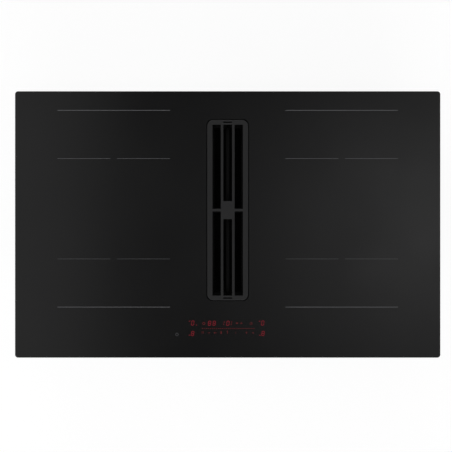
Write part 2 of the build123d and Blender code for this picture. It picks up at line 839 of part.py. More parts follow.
with BuildPart() as intake_shaft:
    slab(shaft_w, shaft_l, box_split, collar_under, 3, intake)
    flange = 2 * shaft_flange_w
    slab(shaft_w + flange, shaft_l + flange, shaft_flange_under, case_under, corner_r, intake)
    slab(shaft_w + 2 * box_flange_w, shaft_l + 2 * box_flange_w, box_split, inlet_top, corner_r, intake)
    slab(shaft_inner_w, shaft_inner_l, box_split, collar_under - air_wall, 0.5, intake, Mode.SUBTRACT)
    gap = 2 * shaft_gap
    slab(skirt_w + gap, skirt_l + gap, collar_under - air_wall, collar_under, at=intake, mode=Mode.SUBTRACT)
    drill(floor_spots, 6)
    drill(box_spots, 4)
    with Locations(*collar_spots):
        Cylinder(screw_r + screw_play, air_wall, align=STAND, mode=Mode.SUBTRACT)
write(intake_shaft, "intake_shaft")

rail_x = drip_w / 2 + drip_play
slot_top = drip_under + drip_h + drip_head

with BuildPart() as air_box_base:
    outer_w = shaft_w + 2 * box_flange_w
    outer_l = shaft_l + 2 * box_flange_w
    slab(outer_w, outer_l, pan_under, box_split, corner_r, intake)
    middle = ((outer_w / 2 - corner_r + inlet_right) / 2, (inlet_front + discharge_y) / 2)
    side_w = inlet_right - outer_w / 2 + corner_r
    side_l = discharge_y - inlet_front
    slab(side_w, side_l, pan_under, box_split, 4, middle)
    slab(outer_w - 2 * air_wall, outer_l - 2 * air_wall, pan_floor, box_split, 3.5, intake, Mode.SUBTRACT)
    span(
        outer_w / 2 - 10, inlet_right - air_wall, inlet_front + air_wall, discharge_y - air_wall,
        pan_floor, box_split, Mode.SUBTRACT,
    )
    for spot in box_spots + rim_spots:
        post(box_flange_w / 2, pan_under, box_split, (spot.position.X, spot.position.Y))
    # shallow panels that stiffen the underside
    rims = 2 * pan_panel_in
    panel_top = pan_under + pan_panel_depth
    slab(outer_w - rims, outer_l - rims, pan_under, panel_top, pan_panel_r, intake, Mode.SUBTRACT)
    panel_at = ((outer_w / 2 + inlet_right) / 2, middle[1])
    panel_w = inlet_right - outer_w / 2 - rims
    slab(panel_w, side_l - rims, pan_under, panel_top, pan_panel_r, panel_at, Mode.SUBTRACT)
    # the drip tray's slot, runners and guides
    slot_w = drip_w + 2 * drip_slot_gap
    slab(slot_w, 3 * air_wall, pan_floor, slot_top, at=(0, pan_front), mode=Mode.SUBTRACT)
    runner_top = pan_floor + drip_runner_h
    guide_l = drip_l - drip_guide_short
    guide_y = pan_front + air_wall + guide_l / 2
    for side in (-1, 1):
        slab(drip_runner_w, guide_l, pan_floor, runner_top, at=(side * drip_runner_x, guide_y))
        wall_x = rail_x + drip_guide_t / 2
        slab(drip_guide_t, guide_l, pan_floor, slot_top + 0.5, at=(side * wall_x, guide_y))
        lip_at = (side * (rail_x + drip_guide_t - drip_lip_w / 2), guide_y)
        slab(drip_lip_w, guide_l, slot_top - drip_lip_t + 0.8, slot_top + 0.8, at=lip_at)
    drill(box_spots, 14)
    drill(rim_spots, 14)
write(air_box_base, "air_box_base")

with BuildPart() as inlet_plate:
    span(inlet_left, inlet_right, inlet_front, discharge_y, box_split, inlet_top)
    lip_top = inlet_top + throat_lip_h
    post(throat_r + throat_lip_r, inlet_top, lip_top, (blower_x, blower_y))
    fillet(inlet_plate.faces().sort_by(Axis.Z)[-1].edges(), throat_lip_edge)
    post(throat_r, box_split, lip_top, (blower_x, blower_y), Mode.SUBTRACT)
    drill(box_spots, 4)
    drill(rim_spots, 6)
    drill(scroll_spots, 6)
write(inlet_plate, "inlet_plate")

with BuildPart() as volute_housing:
    extrude(scroll_outline(air_wall, discharge_y, inlet_top), amount=volute_top - inlet_top)
    for x, y in grommet_places:
        reach = sqrt((blower_x - x) ** 2 + (blower_y - y) ** 2)
        inner = (x + lug_reach * (blower_x - x) / reach, y + lug_reach * (blower_y - y) / reach)
        if x > scroll_right:
            inner = (x - lug_reach, y)
        bar((x, y), inner, 2 * lug_r, volute_top - lug_t, volute_top)
    extrude(scroll_outline(air_wall + box_flange_w, discharge_y, inlet_top), amount=air_wall)
    span(
        discharge_left - outlet_rim, scroll_right + outlet_rim, discharge_y - spigot_flange_t, discharge_y,
        inlet_top, outlet_flange_top,
    )
    # the flange stops short of the shaft
    span(0, inlet_left, 2 * scroll_front, discharge_y, box_split, volute_top, Mode.SUBTRACT)
    extrude(scroll_outline(0, discharge_y + 1, inlet_top), amount=scroll_h, mode=Mode.SUBTRACT)
    with Locations(*grommet_spots):
        Cylinder(screw_r + screw_play, 14, align=STAND, mode=Mode.SUBTRACT)
    drill(rim_spots, 4)
    drill(scroll_spots, 4)
    drill(motor_spots, 3)
    drill(spigot_spots, 8)
write(volute_housing, "volute_housing")

with BuildPart() as blower_grommets:
    for place in grommet_places:
        post(grommet_r, volute_top, case_under, place)
    drill(grommet_spots, 12)
write(blower_grommets, "blower_grommets")

with BuildPart() as outlet_spigot:
    flange_y = discharge_y + spigot_flange_t
    taper_y = flange_y + spigot_taper_l
    scroll_mid = (inlet_top + scroll_top) / 2
    mouth_w = scroll_right - discharge_left

    def section(at_y, width, height, corner):
        """A rounded opening across the outlet at this distance back."""
        facing = Plane((discharge_mid, at_y, scroll_mid), x_dir=(1, 0, 0), z_dir=(0, 1, 0))
        with BuildSketch(facing) as opening:
            RectangleRounded(width, height, corner)
        return opening.sketch

    walls = 2 * spigot_wall
    mouth_out = (mouth_w + walls, scroll_h + walls, mouth_r + spigot_wall)
    end_out = (spigot_w, spigot_h, spigot_r)
    mouth_in = (mouth_w, scroll_h, mouth_r)
    end_in = (spigot_w - walls, spigot_h - walls, spigot_r - spigot_wall)
    loft([section(flange_y, *mouth_out), section(taper_y, *end_out)])
    extrude(section(taper_y, *end_out), amount=spigot_l)
    span(
        discharge_left - outlet_rim, scroll_right + outlet_rim, discharge_y, flange_y,
        box_split, outlet_flange_top,
    )
    loft([section(flange_y, *mouth_in), section(taper_y, *end_in)], mode=Mode.SUBTRACT)
    extrude(section(taper_y, *end_in), amount=spigot_l, mode=Mode.SUBTRACT)
    extrude(section(discharge_y, *mouth_in), amount=spigot_flange_t, mode=Mode.SUBTRACT)
    drill(spigot_spots, 4)
write(outlet_spigot, "outlet_spigot")

drip_back = pan_front + drip_l
with BuildPart() as drip_tray:
    tray_mid = (0, (pan_front + drip_back) / 2)
    slab(drip_w, drip_l, drip_under, drip_under + drip_h, 3, tray_mid)
    slab(
        drip_w - 2 * drip_wall, drip_l - 2 * drip_wall, drip_under + drip_wall, drip_under + drip_h, 2,
        tray_mid, Mode.SUBTRACT,
    )
    plate_low = pan_under + drip_front_up
    span(
        -drip_front_w / 2, drip_front_w / 2, pan_front - drip_front_t, pan_front,
        plate_low, plate_low + drip_front_h,
    )
    pull_y = pan_front - drip_front_t - drip_pull_d / 2
    pull_top = plate_low + drip_front_h
    slab(drip_pull_w, drip_pull_d, pull_top - drip_wall, pull_top, at=(0, pull_y))
    lip_y = pan_front - drip_front_t - drip_pull_d + drip_wall / 2
    slab(drip_pull_w, drip_wall, pull_top - drip_pull_h, pull_top, at=(0, lip_y))
write(drip_tray, "drip_tray")

# ---------------------------------------------------------------- blower motor and impeller

axis = (blower_x, blower_y)
plate_top = scroll_top - impeller_top_gap
flange_low = scroll_top - motor_flange_t
rotor_top = flange_low - rotor_gap
rotor_low = rotor_top - rotor_h
magnet_r = rotor_r - rotor_wall
stator_r = magnet_r - magnet_t - air_gap
tube_r = bearing_r + bearing_tube_wall
tube_low = rotor_low + rotor_wall + tube_clear
stack_low = rotor_low + rotor_wall + stack_clear_low
stack_high = rotor_top - stack_clear_high
yoke_r = tube_r + stator_yoke
tip_r = stator_r - stator_tip

with BuildPart() as motor_mount:
    post(motor_flange_r, flange_low, scroll_top, axis)
    post(tube_r, tube_low, flange_low, axis)
    post(bearing_r, tube_low, flange_low, axis, Mode.SUBTRACT)
    post(shaft_r + 1, flange_low, scroll_top, axis, Mode.SUBTRACT)
    drill(motor_spots, 8)
write(motor_mount, "motor_mount")

with BuildPart() as motor_bearings:
    for low in (tube_low, flange_low - bearing_h):
        post(bearing_r, low, low + bearing_h, axis)
    post(shaft_r + shaft_play, tube_low, flange_low, axis, Mode.SUBTRACT)
write(motor_bearings, "motor_bearings")


def stator_ring(inner_r, outer_r, low, high):
    """Adds a ring round the motor's axis."""
    with BuildSketch(Plane.XY.offset(low)) as ring:
        with Locations(axis):
            Circle(outer_r)
            Circle(inner_r, mode=Mode.SUBTRACT)
    extrude(ring.sketch, amount=high - low)


def spokes(inner_r, outer_r, width, low, high, mode=Mode.ADD, turn=0.0):
    """Adds or cuts one radial bar for each of the stator's teeth."""
    with BuildSketch(Plane.XY.offset(low)) as bars:
        with Locations(axis):
            with PolarLocations((inner_r + outer_r) / 2, stator_teeth, turn):
                Rectangle(outer_r - inner_r, width)
    extrude(bars.sketch, amount=high - low, mode=mode)


with BuildPart() as motor_stator:
    stator_ring(tube_r, yoke_r, stack_low, stack_high)
    stator_ring(tip_r, stator_r, stack_low, stack_high)
    half_step = 180 / stator_teeth
    spokes(tip_r - 1, stator_r + 1, tooth_gap, stack_low, stack_high, Mode.SUBTRACT, half_step)
    spokes(yoke_r - 3, stator_r - 1, tooth_w, stack_low, stack_high)
write(motor_stator, "motor_stator")

with BuildPart() as motor_windings:
    winding_low = stack_low - winding_extra
    winding_high = stack_high + winding_extra
    stator_ring(yoke_r + 1, tip_r - 1, winding_low, winding_high)
    spokes(tube_r, stator_r, tooth_w, stack_low, stack_high, Mode.SUBTRACT)
    spokes(tube_r, stator_r, winding_gap, winding_low, winding_high, Mode.SUBTRACT, half_step)
write(motor_windings, "motor_windings")

with BuildPart() as motor_rotor:
    post(rotor_r, rotor_low, rotor_top, axis)
    post(magnet_r, rotor_low + rotor_wall, rotor_top, axis, Mode.SUBTRACT)
    post(shaft_r, rotor_low, rotor_low + rotor_wall, axis, Mode.SUBTRACT)
    with Locations((blower_x, blower_y, rotor_low)):
        with PolarLocations(rotor_vent_at, rotor_vents):
            Cylinder(rotor_vent_r, rotor_wall, align=STAND, mode=Mode.SUBTRACT)
write(motor_rotor, "motor_rotor")

with BuildPart() as motor_magnets:
    magnet_low = stack_low - 2
    magnet_high = stack_high + 2
    post(magnet_r, magnet_low, magnet_high, axis)
    post(magnet_r - magnet_t, magnet_low, magnet_high, axis, Mode.SUBTRACT)
write(motor_magnets, "motor_magnets")

with BuildPart() as motor_shaft:
    post(shaft_r, rotor_low, flange_low - 1, axis)
    chamfer(motor_shaft.faces().sort_by(Axis.Z)[-1].edges(), 0.5)
write(motor_shaft, "motor_shaft")


def blade_outline():
    """One forward-curved blade seen from above, on a wheel centred at the sketch's origin."""
    points = []
    for inside, angle in blade_sweep:
        radius = impeller_r - inside * blade_w
        points.append(Vector(radius * cos(radians(angle)), radius * sin(radians(angle))))
    runs = [points[1] - points[0], points[2] - points[0], points[2] - points[1]]
    sides = []
    for sign in (-1, 1):
        side = []
        for point, run in zip(points, runs):
            across = Vector(-run.Y, run.X).normalized() * (sign * blade_t / 2)
            side.append(point + across)
        sides.append(side)
    with BuildSketch() as blade:
        with BuildLine():
            ThreePointArc(*sides[0])
            ThreePointArc(*sides[1])
            Line(sides[0][0], sides[1][0])
            Line(sides[0][2], sides[1][2])
        make_face()
    return blade.sketch


with BuildPart() as impeller:
    plate_low = plate_top - impeller_plate_t
    wheel_low = plate_top - impeller_h
    with BuildSketch(Plane.XY.offset(wheel_low)) as blades:
        with Locations(axis):
            with PolarLocations(0, blade_count):
                add(blade_outline())
    extrude(blades.sketch, amount=impeller_h - impeller_plate_t / 2)
    post(impeller_r, plate_low, plate_top, axis)
    post(impeller_r, wheel_low, wheel_low + impeller_plate_t, axis)
    post(impeller_r - blade_w * impeller_ring, wheel_low, wheel_low + impeller_plate_t, axis, Mode.SUBTRACT)
    with BuildSketch(Plane.XY.offset(wheel_low)) as inner_blades:
        with Locations(axis):
            with PolarLocations(0, blade_count):
                add(blade_outline())
    extrude(inner_blades.sketch, amount=impeller_plate_t)
    hub_low = plate_top - rotor_h * rotor_skirt
    post(rotor_r + impeller_plate_t, hub_low, plate_top, axis)
    post(rotor_r, hub_low, plate_top, axis, Mode.SUBTRACT)
write(impeller, "impeller")

# ---------------------------------------------------------------- induction coils

coil_places = [
    (side * zone_x, zone_y + row * zone_pitch / 2) for side in (-1, 1) for row in (-1, 1)
]
mica_low = glass_under - mica_t
litz_low = mica_low - litz_h
former_top = litz_low
plate_low = former_top - former_t
ferrite_low = plate_low - ferrite_t
carrier_top = ferrite_low - buffer_h
carrier_low = carrier_top - carrier_t


def stadium(radius, low, high, at, mode=Mode.ADD):
    """Adds a plate with the coils' outline, round ended and longer across."""
    with BuildSketch(Plane.XY.offset(low)) as outline:
        with Locations(at):
            SlotOverall(2 * radius + coil_straight, 2 * radius)
    extrude(outline.sketch, amount=high - low, mode=mode)


def spiral_winding():
    """The flat spiral of braided wire: half turns about two centres, joined by straight runs."""
    turns = int((coil_r - coil_inner_r - litz_w - litz_pitch / 2) / litz_pitch) + 1
    half_run = coil_straight / 2
    lift = litz_pitch / 4
    with BuildSketch() as flat:
        with BuildLine():
            for shift in (-litz_w / 2, litz_w / 2):
                for turn in range(turns):
                    right_r = coil_inner_r + litz_w / 2 + turn * litz_pitch
                    left_r = right_r + litz_pitch / 2
                    top = lift + right_r + shift
                    bottom = -lift - left_r - shift
                    CenterArc((half_run, lift), right_r + shift, -90, 180)
                    Line((half_run, top), (-half_run, top))
                    CenterArc((-half_run, -lift), left_r + shift, 90, 180)
                    if turn < turns - 1:
                        Line((-half_run, bottom), (half_run, bottom))
            start = lift - coil_inner_r - litz_w / 2
            Line((half_run, start - litz_w / 2), (half_run, start + litz_w / 2))
            last = bottom + litz_w / 2
            Line((-half_run, last - litz_w / 2), (-half_run, last + litz_w / 2))
        make_face()
    return flat.sketch


winding_face = spiral_winding()
with BuildPart() as coil_windings:
    with BuildSketch(Plane.XY.offset(litz_low)) as spirals:
        with Locations(*coil_places):
            add(winding_face)
    extrude(spirals.sketch, amount=litz_h)
write(coil_windings, "coil_windings")

with BuildPart() as mica_sheets:
    for place in coil_places:
        stadium(coil_r + former_rim, mica_low, glass_under, place)
write(mica_sheets, "mica_sheets")

ferrite_at = coil_inner_r + ferrite_start + ferrite_l / 2
with BuildPart() as coil_ferrites:
    for x, y in coil_places:
        for angle in ferrite_angles:
            run_x = cos(radians(angle))
            run_y = sin(radians(angle))
            stretch = coil_straight / 2 if abs(run_x) > 0.5 else 0
            centre_x = x + ferrite_at * run_x + (stretch if run_x > 0 else -stretch)
            centre_y = y + ferrite_at * run_y
            with Locations(Location((centre_x, centre_y, ferrite_low), angle)):
                Box(ferrite_l, ferrite_w, ferrite_t, align=STAND)
write(coil_ferrites, "coil_ferrites")

with BuildPart() as coil_formers:
    for place in coil_places:
        stadium(coil_r + former_rim, ferrite_low, former_top, place)
        stadium(coil_inner_r - former_hole_in, ferrite_low, former_top, place, Mode.SUBTRACT)
        slab(2 * coil_inner_r + coil_straight, bridge_w, ferrite_low, ferrite_low + former_t, 0, place)
        post(sensor_r, ferrite_low, former_top, place, Mode.SUBTRACT)
    add(coil_ferrites.part, mode=Mode.SUBTRACT)
write(coil_formers, "coil_formers")

buffer_places = [
    (x + side * (coil_r + coil_straight / 2 - buffer_in[0]), y + row * (coil_r - buffer_in[1]))
    for x, y in coil_places
    for side in (-1, 1)
    for row in (-1, 1)
]
with BuildPart() as coil_buffers:
    for place in buffer_places:
        post(buffer_r, carrier_top, ferrite_low, place)
        post(buffer_hole_r, carrier_top, ferrite_low, place, Mode.SUBTRACT)
write(coil_buffers, "coil_buffers")

with BuildPart() as temperature_sensors:
    for place in coil_places:
        post(sensor_r, ferrite_low, mica_low, place)
write(temperature_sensors, "temperature_sensors")

with BuildPart() as coil_carriers:
    for side in (-1, 1):
        slab(carrier_w, carrier_d, carrier_low, carrier_top, carrier_r, (side * zone_x, zone_y))
        for x, y in coil_places:
            if x * side > 0:
                stadium(coil_inner_r, carrier_low, carrier_top, (x, y), Mode.SUBTRACT)
        for end in (-1, 1):
            leg_y = zone_y + end * (carrier_d - carrier_t) / 2
            foot_y = leg_y - end * (carrier_foot_w - carrier_t) / 2
            for half in (-1, 1):
                leg_x = side * zone_x + half * (carrier_w / 2 - carrier_leg_in)
                foot_top = floor_top + carrier_t
                slab(carrier_leg_w, carrier_t, floor_top, carrier_top, at=(leg_x, leg_y))
                slab(carrier_leg_w, carrier_foot_w, floor_top, foot_top, at=(leg_x, foot_y))
write(coil_carriers, "coil_carriers")

# ---------------------------------------------------------------- power electronics

board_low = floor_top + standoff_h
board_top = board_low + board_t
board_x = zone_x

with BuildPart() as power_boards:
    for side in (-1, 1):
        slab(board_w, board_d, board_low, board_top, 2, (side * board_x, board_y))
write(power_boards, "power_boards")

with BuildPart() as board_standoffs:
    for side in (-1, 1):
        for across in (-1, 1):
            for back in (-1, 0, 1):
                post_x = side * board_x + across * (board_w / 2 - standoff_in)
                place = (post_x, board_y + back * (board_d / 2 - standoff_in))
                post(standoff_r, floor_top, board_low, place)
write(board_standoffs, "board_standoffs")

with BuildPart() as heat_sinks:
    for side in (-1, 1):
        centre_x = side * (board_x + heat_sink_at[0])
        centre_y = board_y + heat_sink_at[1]
        slab(heat_sink_w, heat_sink_l, board_top, board_top + heat_sink_base_t, at=(centre_x, centre_y))
        last_fin = (heat_sink_w - fin_t) / 2
        for fin_x in along(-last_fin, last_fin, fin_count):
            slab(fin_t, heat_sink_l, board_top, board_top + heat_sink_h, at=(centre_x + fin_x, centre_y))
write(heat_sinks, "heat_sinks")

with BuildPart() as power_capacitors:
    for side in (-1, 1):
        for step in along(-capacitor_end, capacitor_end, 4):
            place = (side * (board_x + capacitor_at), board_y + step)
            post(capacitor_r, board_top, board_top + capacitor_h, place)
        film_w, film_d, film_h = film_capacitor
        for step in film_capacitor_x:
            place = (side * (board_x + step), board_y + film_capacitor_y)
            slab(film_w, film_d, board_top, board_top + film_h, 1, place)
write(power_capacitors, "power_capacitors")

with BuildPart() as filter_chokes:
    for side in (-1, 1):
        for step in choke_y:
            place = (side * (board_x + choke_x), board_y + step)
            post(choke_r, board_top, board_top + choke_h, place)
            post(choke_hole_r, board_top, board_top + choke_h, place, Mode.SUBTRACT)
write(filter_chokes, "filter_chokes")

# ---------------------------------------------------------------- cooling fans

fan_low = floor_top
fan_base_top = fan_low + fan_base_t
rotor_low_z = fan_base_top + fan_under_gap
rotor_high_z = fan_low + fan_h - fan_top_gap

with BuildPart() as fan_frames:
    for side in (-1, 1):
        place = (side * fan_x, fan_y)
        slab(fan_side, fan_side, fan_low, fan_low + fan_h, fan_corner_r, place)
        post(fan_bore_r, fan_low, fan_low + fan_h, place, Mode.SUBTRACT)
        post(fan_hub_r, fan_low, fan_base_top, place)
        reach = (fan_bore_r + fan_strut_reach) / sqrt(2)
        for across in (-1, 1):
            for back in (-1, 1):
                end = (place[0] + across * reach, place[1] + back * reach)
                bar(place, end, fan_strut_w, fan_low, fan_base_top)
        post(fan_pin_r, fan_base_top, rotor_high_z - 4, place)
write(fan_frames, "fan_frames")


def fan_rotor(side, name):
    """A fan wheel with curved blades on a hub that turns on the pin of the fan's base."""
    place = (side * fan_x, fan_y)
    with BuildPart() as rotor:
        post(fan_hub_r, rotor_low_z, rotor_high_z, place)
        tip = fan_bore_r - fan_tip_gap
        with Locations((place[0], place[1], (rotor_low_z + rotor_high_z) / 2)):
            with PolarLocations((fan_hub_r + tip - fan_root) / 2, fan_blades):
                with Locations(Location((0, 0, 0), (fan_blade_tilt, 0, 0))):
                    Box(tip - fan_hub_r + fan_root, fan_blade_w, fan_blade_t)
        post(fan_pin_r + fan_play, rotor_low_z, rotor_high_z - 3, place, Mode.SUBTRACT)
    write(rotor, f"fan_rotor_{name}")


fan_rotor(-1, "left")
fan_rotor(1, "right")

# ---------------------------------------------------------------- touch control

touch_low = glass_under - touch_h
touch_board_top = glass_under - display_h
touch_board_low = touch_board_top - board_t
touch_at = (0, touch_y)

with BuildPart() as touch_holder:
    slab(touch_w, touch_d, touch_low, glass_under, touch_corner_r, touch_at)
    hollow = 2 * touch_wall
    slab(touch_w - hollow, touch_d - hollow, touch_board_low, glass_under, 1, touch_at, Mode.SUBTRACT)
    shelf = hollow + 2 * touch_shelf
    slab(touch_w - shelf, touch_d - shelf, touch_low + touch_wall, glass_under, 1, touch_at, Mode.SUBTRACT)
    for side in (-1, 1):
        post(touch_leg_r, floor_top, touch_low, (side * (touch_w / 2 - touch_leg_in), touch_y))
write(touch_holder, "touch_holder")

with BuildPart() as touch_board:
    slab(touch_w - hollow, touch_d - hollow, touch_board_low, touch_board_top, 1, touch_at)
write(touch_board, "touch_board")

# digit displays, the dotted power slider and the two rows of touch keys, as (x, y, width, depth)
display_places = [
    (-69.5, -193, 9, 14),
    (-31, -193, 19, 14),
    (0, -193, 22, 14),
    (67, -193, 9, 14),
    (0, -203.5, 106, 4),
    (-38, -212, 30, 8),
    (0, -212, 30, 8),
    (42, -212, 30, 8),
    (-69.5, -213.5, 9, 12),
    (67, -213.5, 9, 12),
]
with BuildPart() as led_displays:
    for x, y, width, depth in display_places:
        slab(width, depth, touch_board_top, glass_under, at=(x, y))
write(led_displays, "led_displays")

# ---------------------------------------------------------------- supply terminal box

box_low = case_under - terminal_h
terminal = (terminal_x, terminal_y)
lid_top = box_low
lid_low = lid_top - lid_t
hinge_y = terminal_y - terminal_d / 2 - lid_barrel_r - lid_hinge_gap
hinge_z = (lid_top + lid_low) / 2
ear_x = (lid_barrel_l + lid_ear_w) / 2 + lid_play
back_y = terminal_y + terminal_d / 2

with BuildPart() as terminal_box:
    slab(terminal_w, terminal_d, box_low, case_under, 2, terminal)
    slab(
        terminal_w - 2 * terminal_wall, terminal_d - 2 * terminal_wall, box_low, case_under, 1, terminal,
        Mode.SUBTRACT,
    )
    # the open rear end, which the entry plate closes
    half_w = terminal_w / 2 - terminal_wall
    wall_y = back_y - terminal_wall
    span(
        terminal_x - half_w, terminal_x + half_w, wall_y - terminal_wall, back_y, box_low, case_under,
        Mode.SUBTRACT,
    )
    for side in (-1, 1):
        flange_x = terminal_x + side * (terminal_w + terminal_ear) / 2
        slab(terminal_ear, terminal_ear_d, case_under - lid_t, case_under, at=(flange_x, terminal_y))
        pin_x = terminal_x + side * ear_x
        turned = Location((pin_x, hinge_y, hinge_z), (0, 90, 0))
        with Locations(turned):
            Cylinder(lid_barrel_r, lid_ear_w)
        span(
            pin_x - lid_ear_w / 2, pin_x + lid_ear_w / 2, hinge_y, terminal_y - terminal_d / 2 + 0.5,
            hinge_z, hinge_z + lid_ear_h,
        )
        with Locations(Location((pin_x - side * lid_ear_w, hinge_y, hinge_z), (0, 90, 0))):
            Cylinder(lid_pin_r, lid_ear_w)
    drill(terminal_spots, 4)
    half_w = half_w - entry_plate_gap
    span(terminal_x - half_w, terminal_x + half_w, wall_y, back_y, box_low, case_under)
    with Locations(Location((terminal_x, back_y - 2 * terminal_wall, box_low + terminal_h / 2), BACK)):
        Cylinder(gland_r + gland_wall, 4 * terminal_wall, align=STAND, mode=Mode.SUBTRACT)
write(terminal_box, "terminal_box")

with BuildPart() as terminal_lid:
    lid_front = terminal_y - terminal_d / 2
    slab(terminal_w, terminal_d, lid_low, lid_top, 2, terminal)
    for side in (-1, 1):
        notch_at = (terminal_x + side * ear_x, lid_front)
        slab(lid_ear_w + 1, 1, lid_low, lid_top, at=notch_at, mode=Mode.SUBTRACT)
    span(
        terminal_x - lid_barrel_l / 2, terminal_x + lid_barrel_l / 2, hinge_y, lid_front + 1,
        lid_low, lid_top,
    )
    with Locations(Location((terminal_x, hinge_y, hinge_z), (0, 90, 0))):
        Cylinder(lid_barrel_r, lid_barrel_l)
        Cylinder(lid_pin_r + lid_pin_play, lid_barrel_l, mode=Mode.SUBTRACT)
write(terminal_lid, "terminal_lid")

with BuildPart() as cable_gland:
    gland_z = box_low + terminal_h / 2
    gland_from = Location((terminal_x, back_y - terminal_wall - gland_nut_inner_t, gland_z), BACK)
    with Locations(gland_from):
        Cylinder(gland_r + gland_wall, gland_l, align=STAND)
    outward = Plane((terminal_x, back_y, gland_z), x_dir=(1, 0, 0), z_dir=(0, 1, 0))
    with BuildSketch(outward) as nut:
        RegularPolygon(gland_nut_w / 2, 6, major_radius=False)
    extrude(nut.sketch, amount=gland_nut_t)
    inward = Plane((terminal_x, back_y - terminal_wall, gland_z), x_dir=(1, 0, 0), z_dir=(0, -1, 0))
    with BuildSketch(inward) as inner_nut:
        RegularPolygon(gland_nut_w / 2, 6, major_radius=False)
    extrude(inner_nut.sketch, amount=gland_nut_inner_t)
    with Locations(gland_from):
        Cylinder(gland_r, gland_l, align=STAND, mode=Mode.SUBTRACT)
write(cable_gland, "cable_gland")

with BuildPart() as terminal_block:
    block_x = terminal_x + block_at[0]
    block_y = terminal_y + block_at[1]
    block_low = case_under - block_h
    slab(block_w, block_d, block_low, case_under, 1, (block_x, block_y))
    last_hole = block_w / 2 - block_hole_in
    for step in along(-last_hole, last_hole, 5):
        post(block_hole_r, block_low, block_low + block_hole_h, (block_x + step, block_y), Mode.SUBTRACT)
write(terminal_block, "terminal_block")

# ---------------------------------------------------------------- worktop clamps

clamp_foot = lug_top - clamp_screw_l


def clamp_claw(name, x, y):
    """A claw threaded on its clamp screw, parked along the case and swung out under the worktop."""
    park = -1 if y > 0 else 1
    tip = (x, y + park * (clamp_claw_l - clamp_claw_w / 2))
    with BuildPart() as claw:
        bar((x, y), tip, clamp_claw_w, clamp_grip_z - clamp_claw_t, clamp_grip_z)
        post(clamp_claw_w / 2, clamp_grip_z - clamp_boss_h, clamp_grip_z, (x, y))
        slab(clamp_claw_w - 2, clamp_tip_t, clamp_grip_z, clamp_grip_z + clamp_tip_h, at=tip)
        post(screw_r + clamp_thread_play, clamp_grip_z - clamp_boss_h, clamp_grip_z, (x, y), Mode.SUBTRACT)
    write(claw, f"clamp_claw_{name}")


for name, place in zip(("front_left", "rear_left", "front_right", "rear_right"), clamp_places):
    clamp_claw(name, *place)

# ---------------------------------------------------------------- screws


def screw_set(spots, length):
    """Adds one screw of this length at each spot."""
    model = make_screw(length)
    with Locations(*spots):
        add(model)


with BuildPart() as case_screws:
    screw_set(frame_spots, 5)
    screw_set(floor_spots, 6)
    screw_set(terminal_spots, 5)
    screw_set(collar_spots, 5)
write(case_screws, "case_screws")

with BuildPart() as air_box_screws:
    screw_set(box_spots, 11)
    screw_set(rim_spots, 13)
    screw_set(scroll_spots, 7)
    screw_set(grommet_spots, 12)
    screw_set(motor_spots, 6)
    screw_set(spigot_spots, 8)
write(air_box_screws, "air_box_screws")

with BuildPart() as clamp_screws:
    for x, y in clamp_places:
        post(screw_r, clamp_foot, lug_top, (x, y))
        post(screw_head_r, lug_top, lug_top + screw_head_t, (x, y))
write(clamp_screws, "clamp_screws")
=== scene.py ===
import json
import math

import bmesh
import bpy
import numpy as np
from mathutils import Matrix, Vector


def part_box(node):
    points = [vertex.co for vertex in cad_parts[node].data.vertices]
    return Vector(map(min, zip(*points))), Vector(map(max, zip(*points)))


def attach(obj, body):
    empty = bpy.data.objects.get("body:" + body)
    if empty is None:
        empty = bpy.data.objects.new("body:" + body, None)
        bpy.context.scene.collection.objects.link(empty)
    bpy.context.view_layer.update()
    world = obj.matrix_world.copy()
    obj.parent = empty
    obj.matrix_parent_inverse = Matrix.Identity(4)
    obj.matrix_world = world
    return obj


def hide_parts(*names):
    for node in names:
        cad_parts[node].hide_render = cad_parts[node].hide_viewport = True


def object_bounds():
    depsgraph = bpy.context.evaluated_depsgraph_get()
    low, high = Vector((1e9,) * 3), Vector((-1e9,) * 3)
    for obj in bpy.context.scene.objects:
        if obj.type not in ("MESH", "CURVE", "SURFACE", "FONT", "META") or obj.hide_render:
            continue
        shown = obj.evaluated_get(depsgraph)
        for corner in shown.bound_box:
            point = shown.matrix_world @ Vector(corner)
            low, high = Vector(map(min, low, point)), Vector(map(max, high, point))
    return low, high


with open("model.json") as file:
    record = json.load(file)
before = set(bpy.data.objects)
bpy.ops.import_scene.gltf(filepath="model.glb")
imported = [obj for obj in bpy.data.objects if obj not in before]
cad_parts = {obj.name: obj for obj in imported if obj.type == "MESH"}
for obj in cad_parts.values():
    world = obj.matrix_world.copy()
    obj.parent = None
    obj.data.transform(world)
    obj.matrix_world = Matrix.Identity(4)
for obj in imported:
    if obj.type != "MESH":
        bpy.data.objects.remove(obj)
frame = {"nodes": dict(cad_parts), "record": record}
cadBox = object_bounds()
mm = 0.001
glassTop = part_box("glass_plate")[1].z
standLevel = cadBox[0].z
print("frame loaded")

# camera: straight down, as the photo was taken

photo = {
    "pixels": 452,
    "mmPerPixel": 1.9516,
    "shiftX": -3.3,  # mm from the middle of the glass to the middle of the picture
    "shiftY": -3.0,
    "distance": 6.0,  # m above the glass
    "sensor": 36.0,
    "farthest": 50.0,  # m that the camera sees
}


def addCamera():
    data = bpy.data.cameras.new("photoCamera")
    camera = bpy.data.objects.new("photoCamera", data)
    bpy.context.collection.objects.link(camera)
    width = photo["pixels"] * photo["mmPerPixel"] * mm
    data.sensor_width = photo["sensor"]
    data.lens = photo["sensor"] * photo["distance"] / width
    data.clip_end = photo["farthest"]
    camera.location = (photo["shiftX"] * mm, photo["shiftY"] * mm, glassTop + photo["distance"])
    bpy.context.scene.camera = camera


addCamera()

# light, world and floor

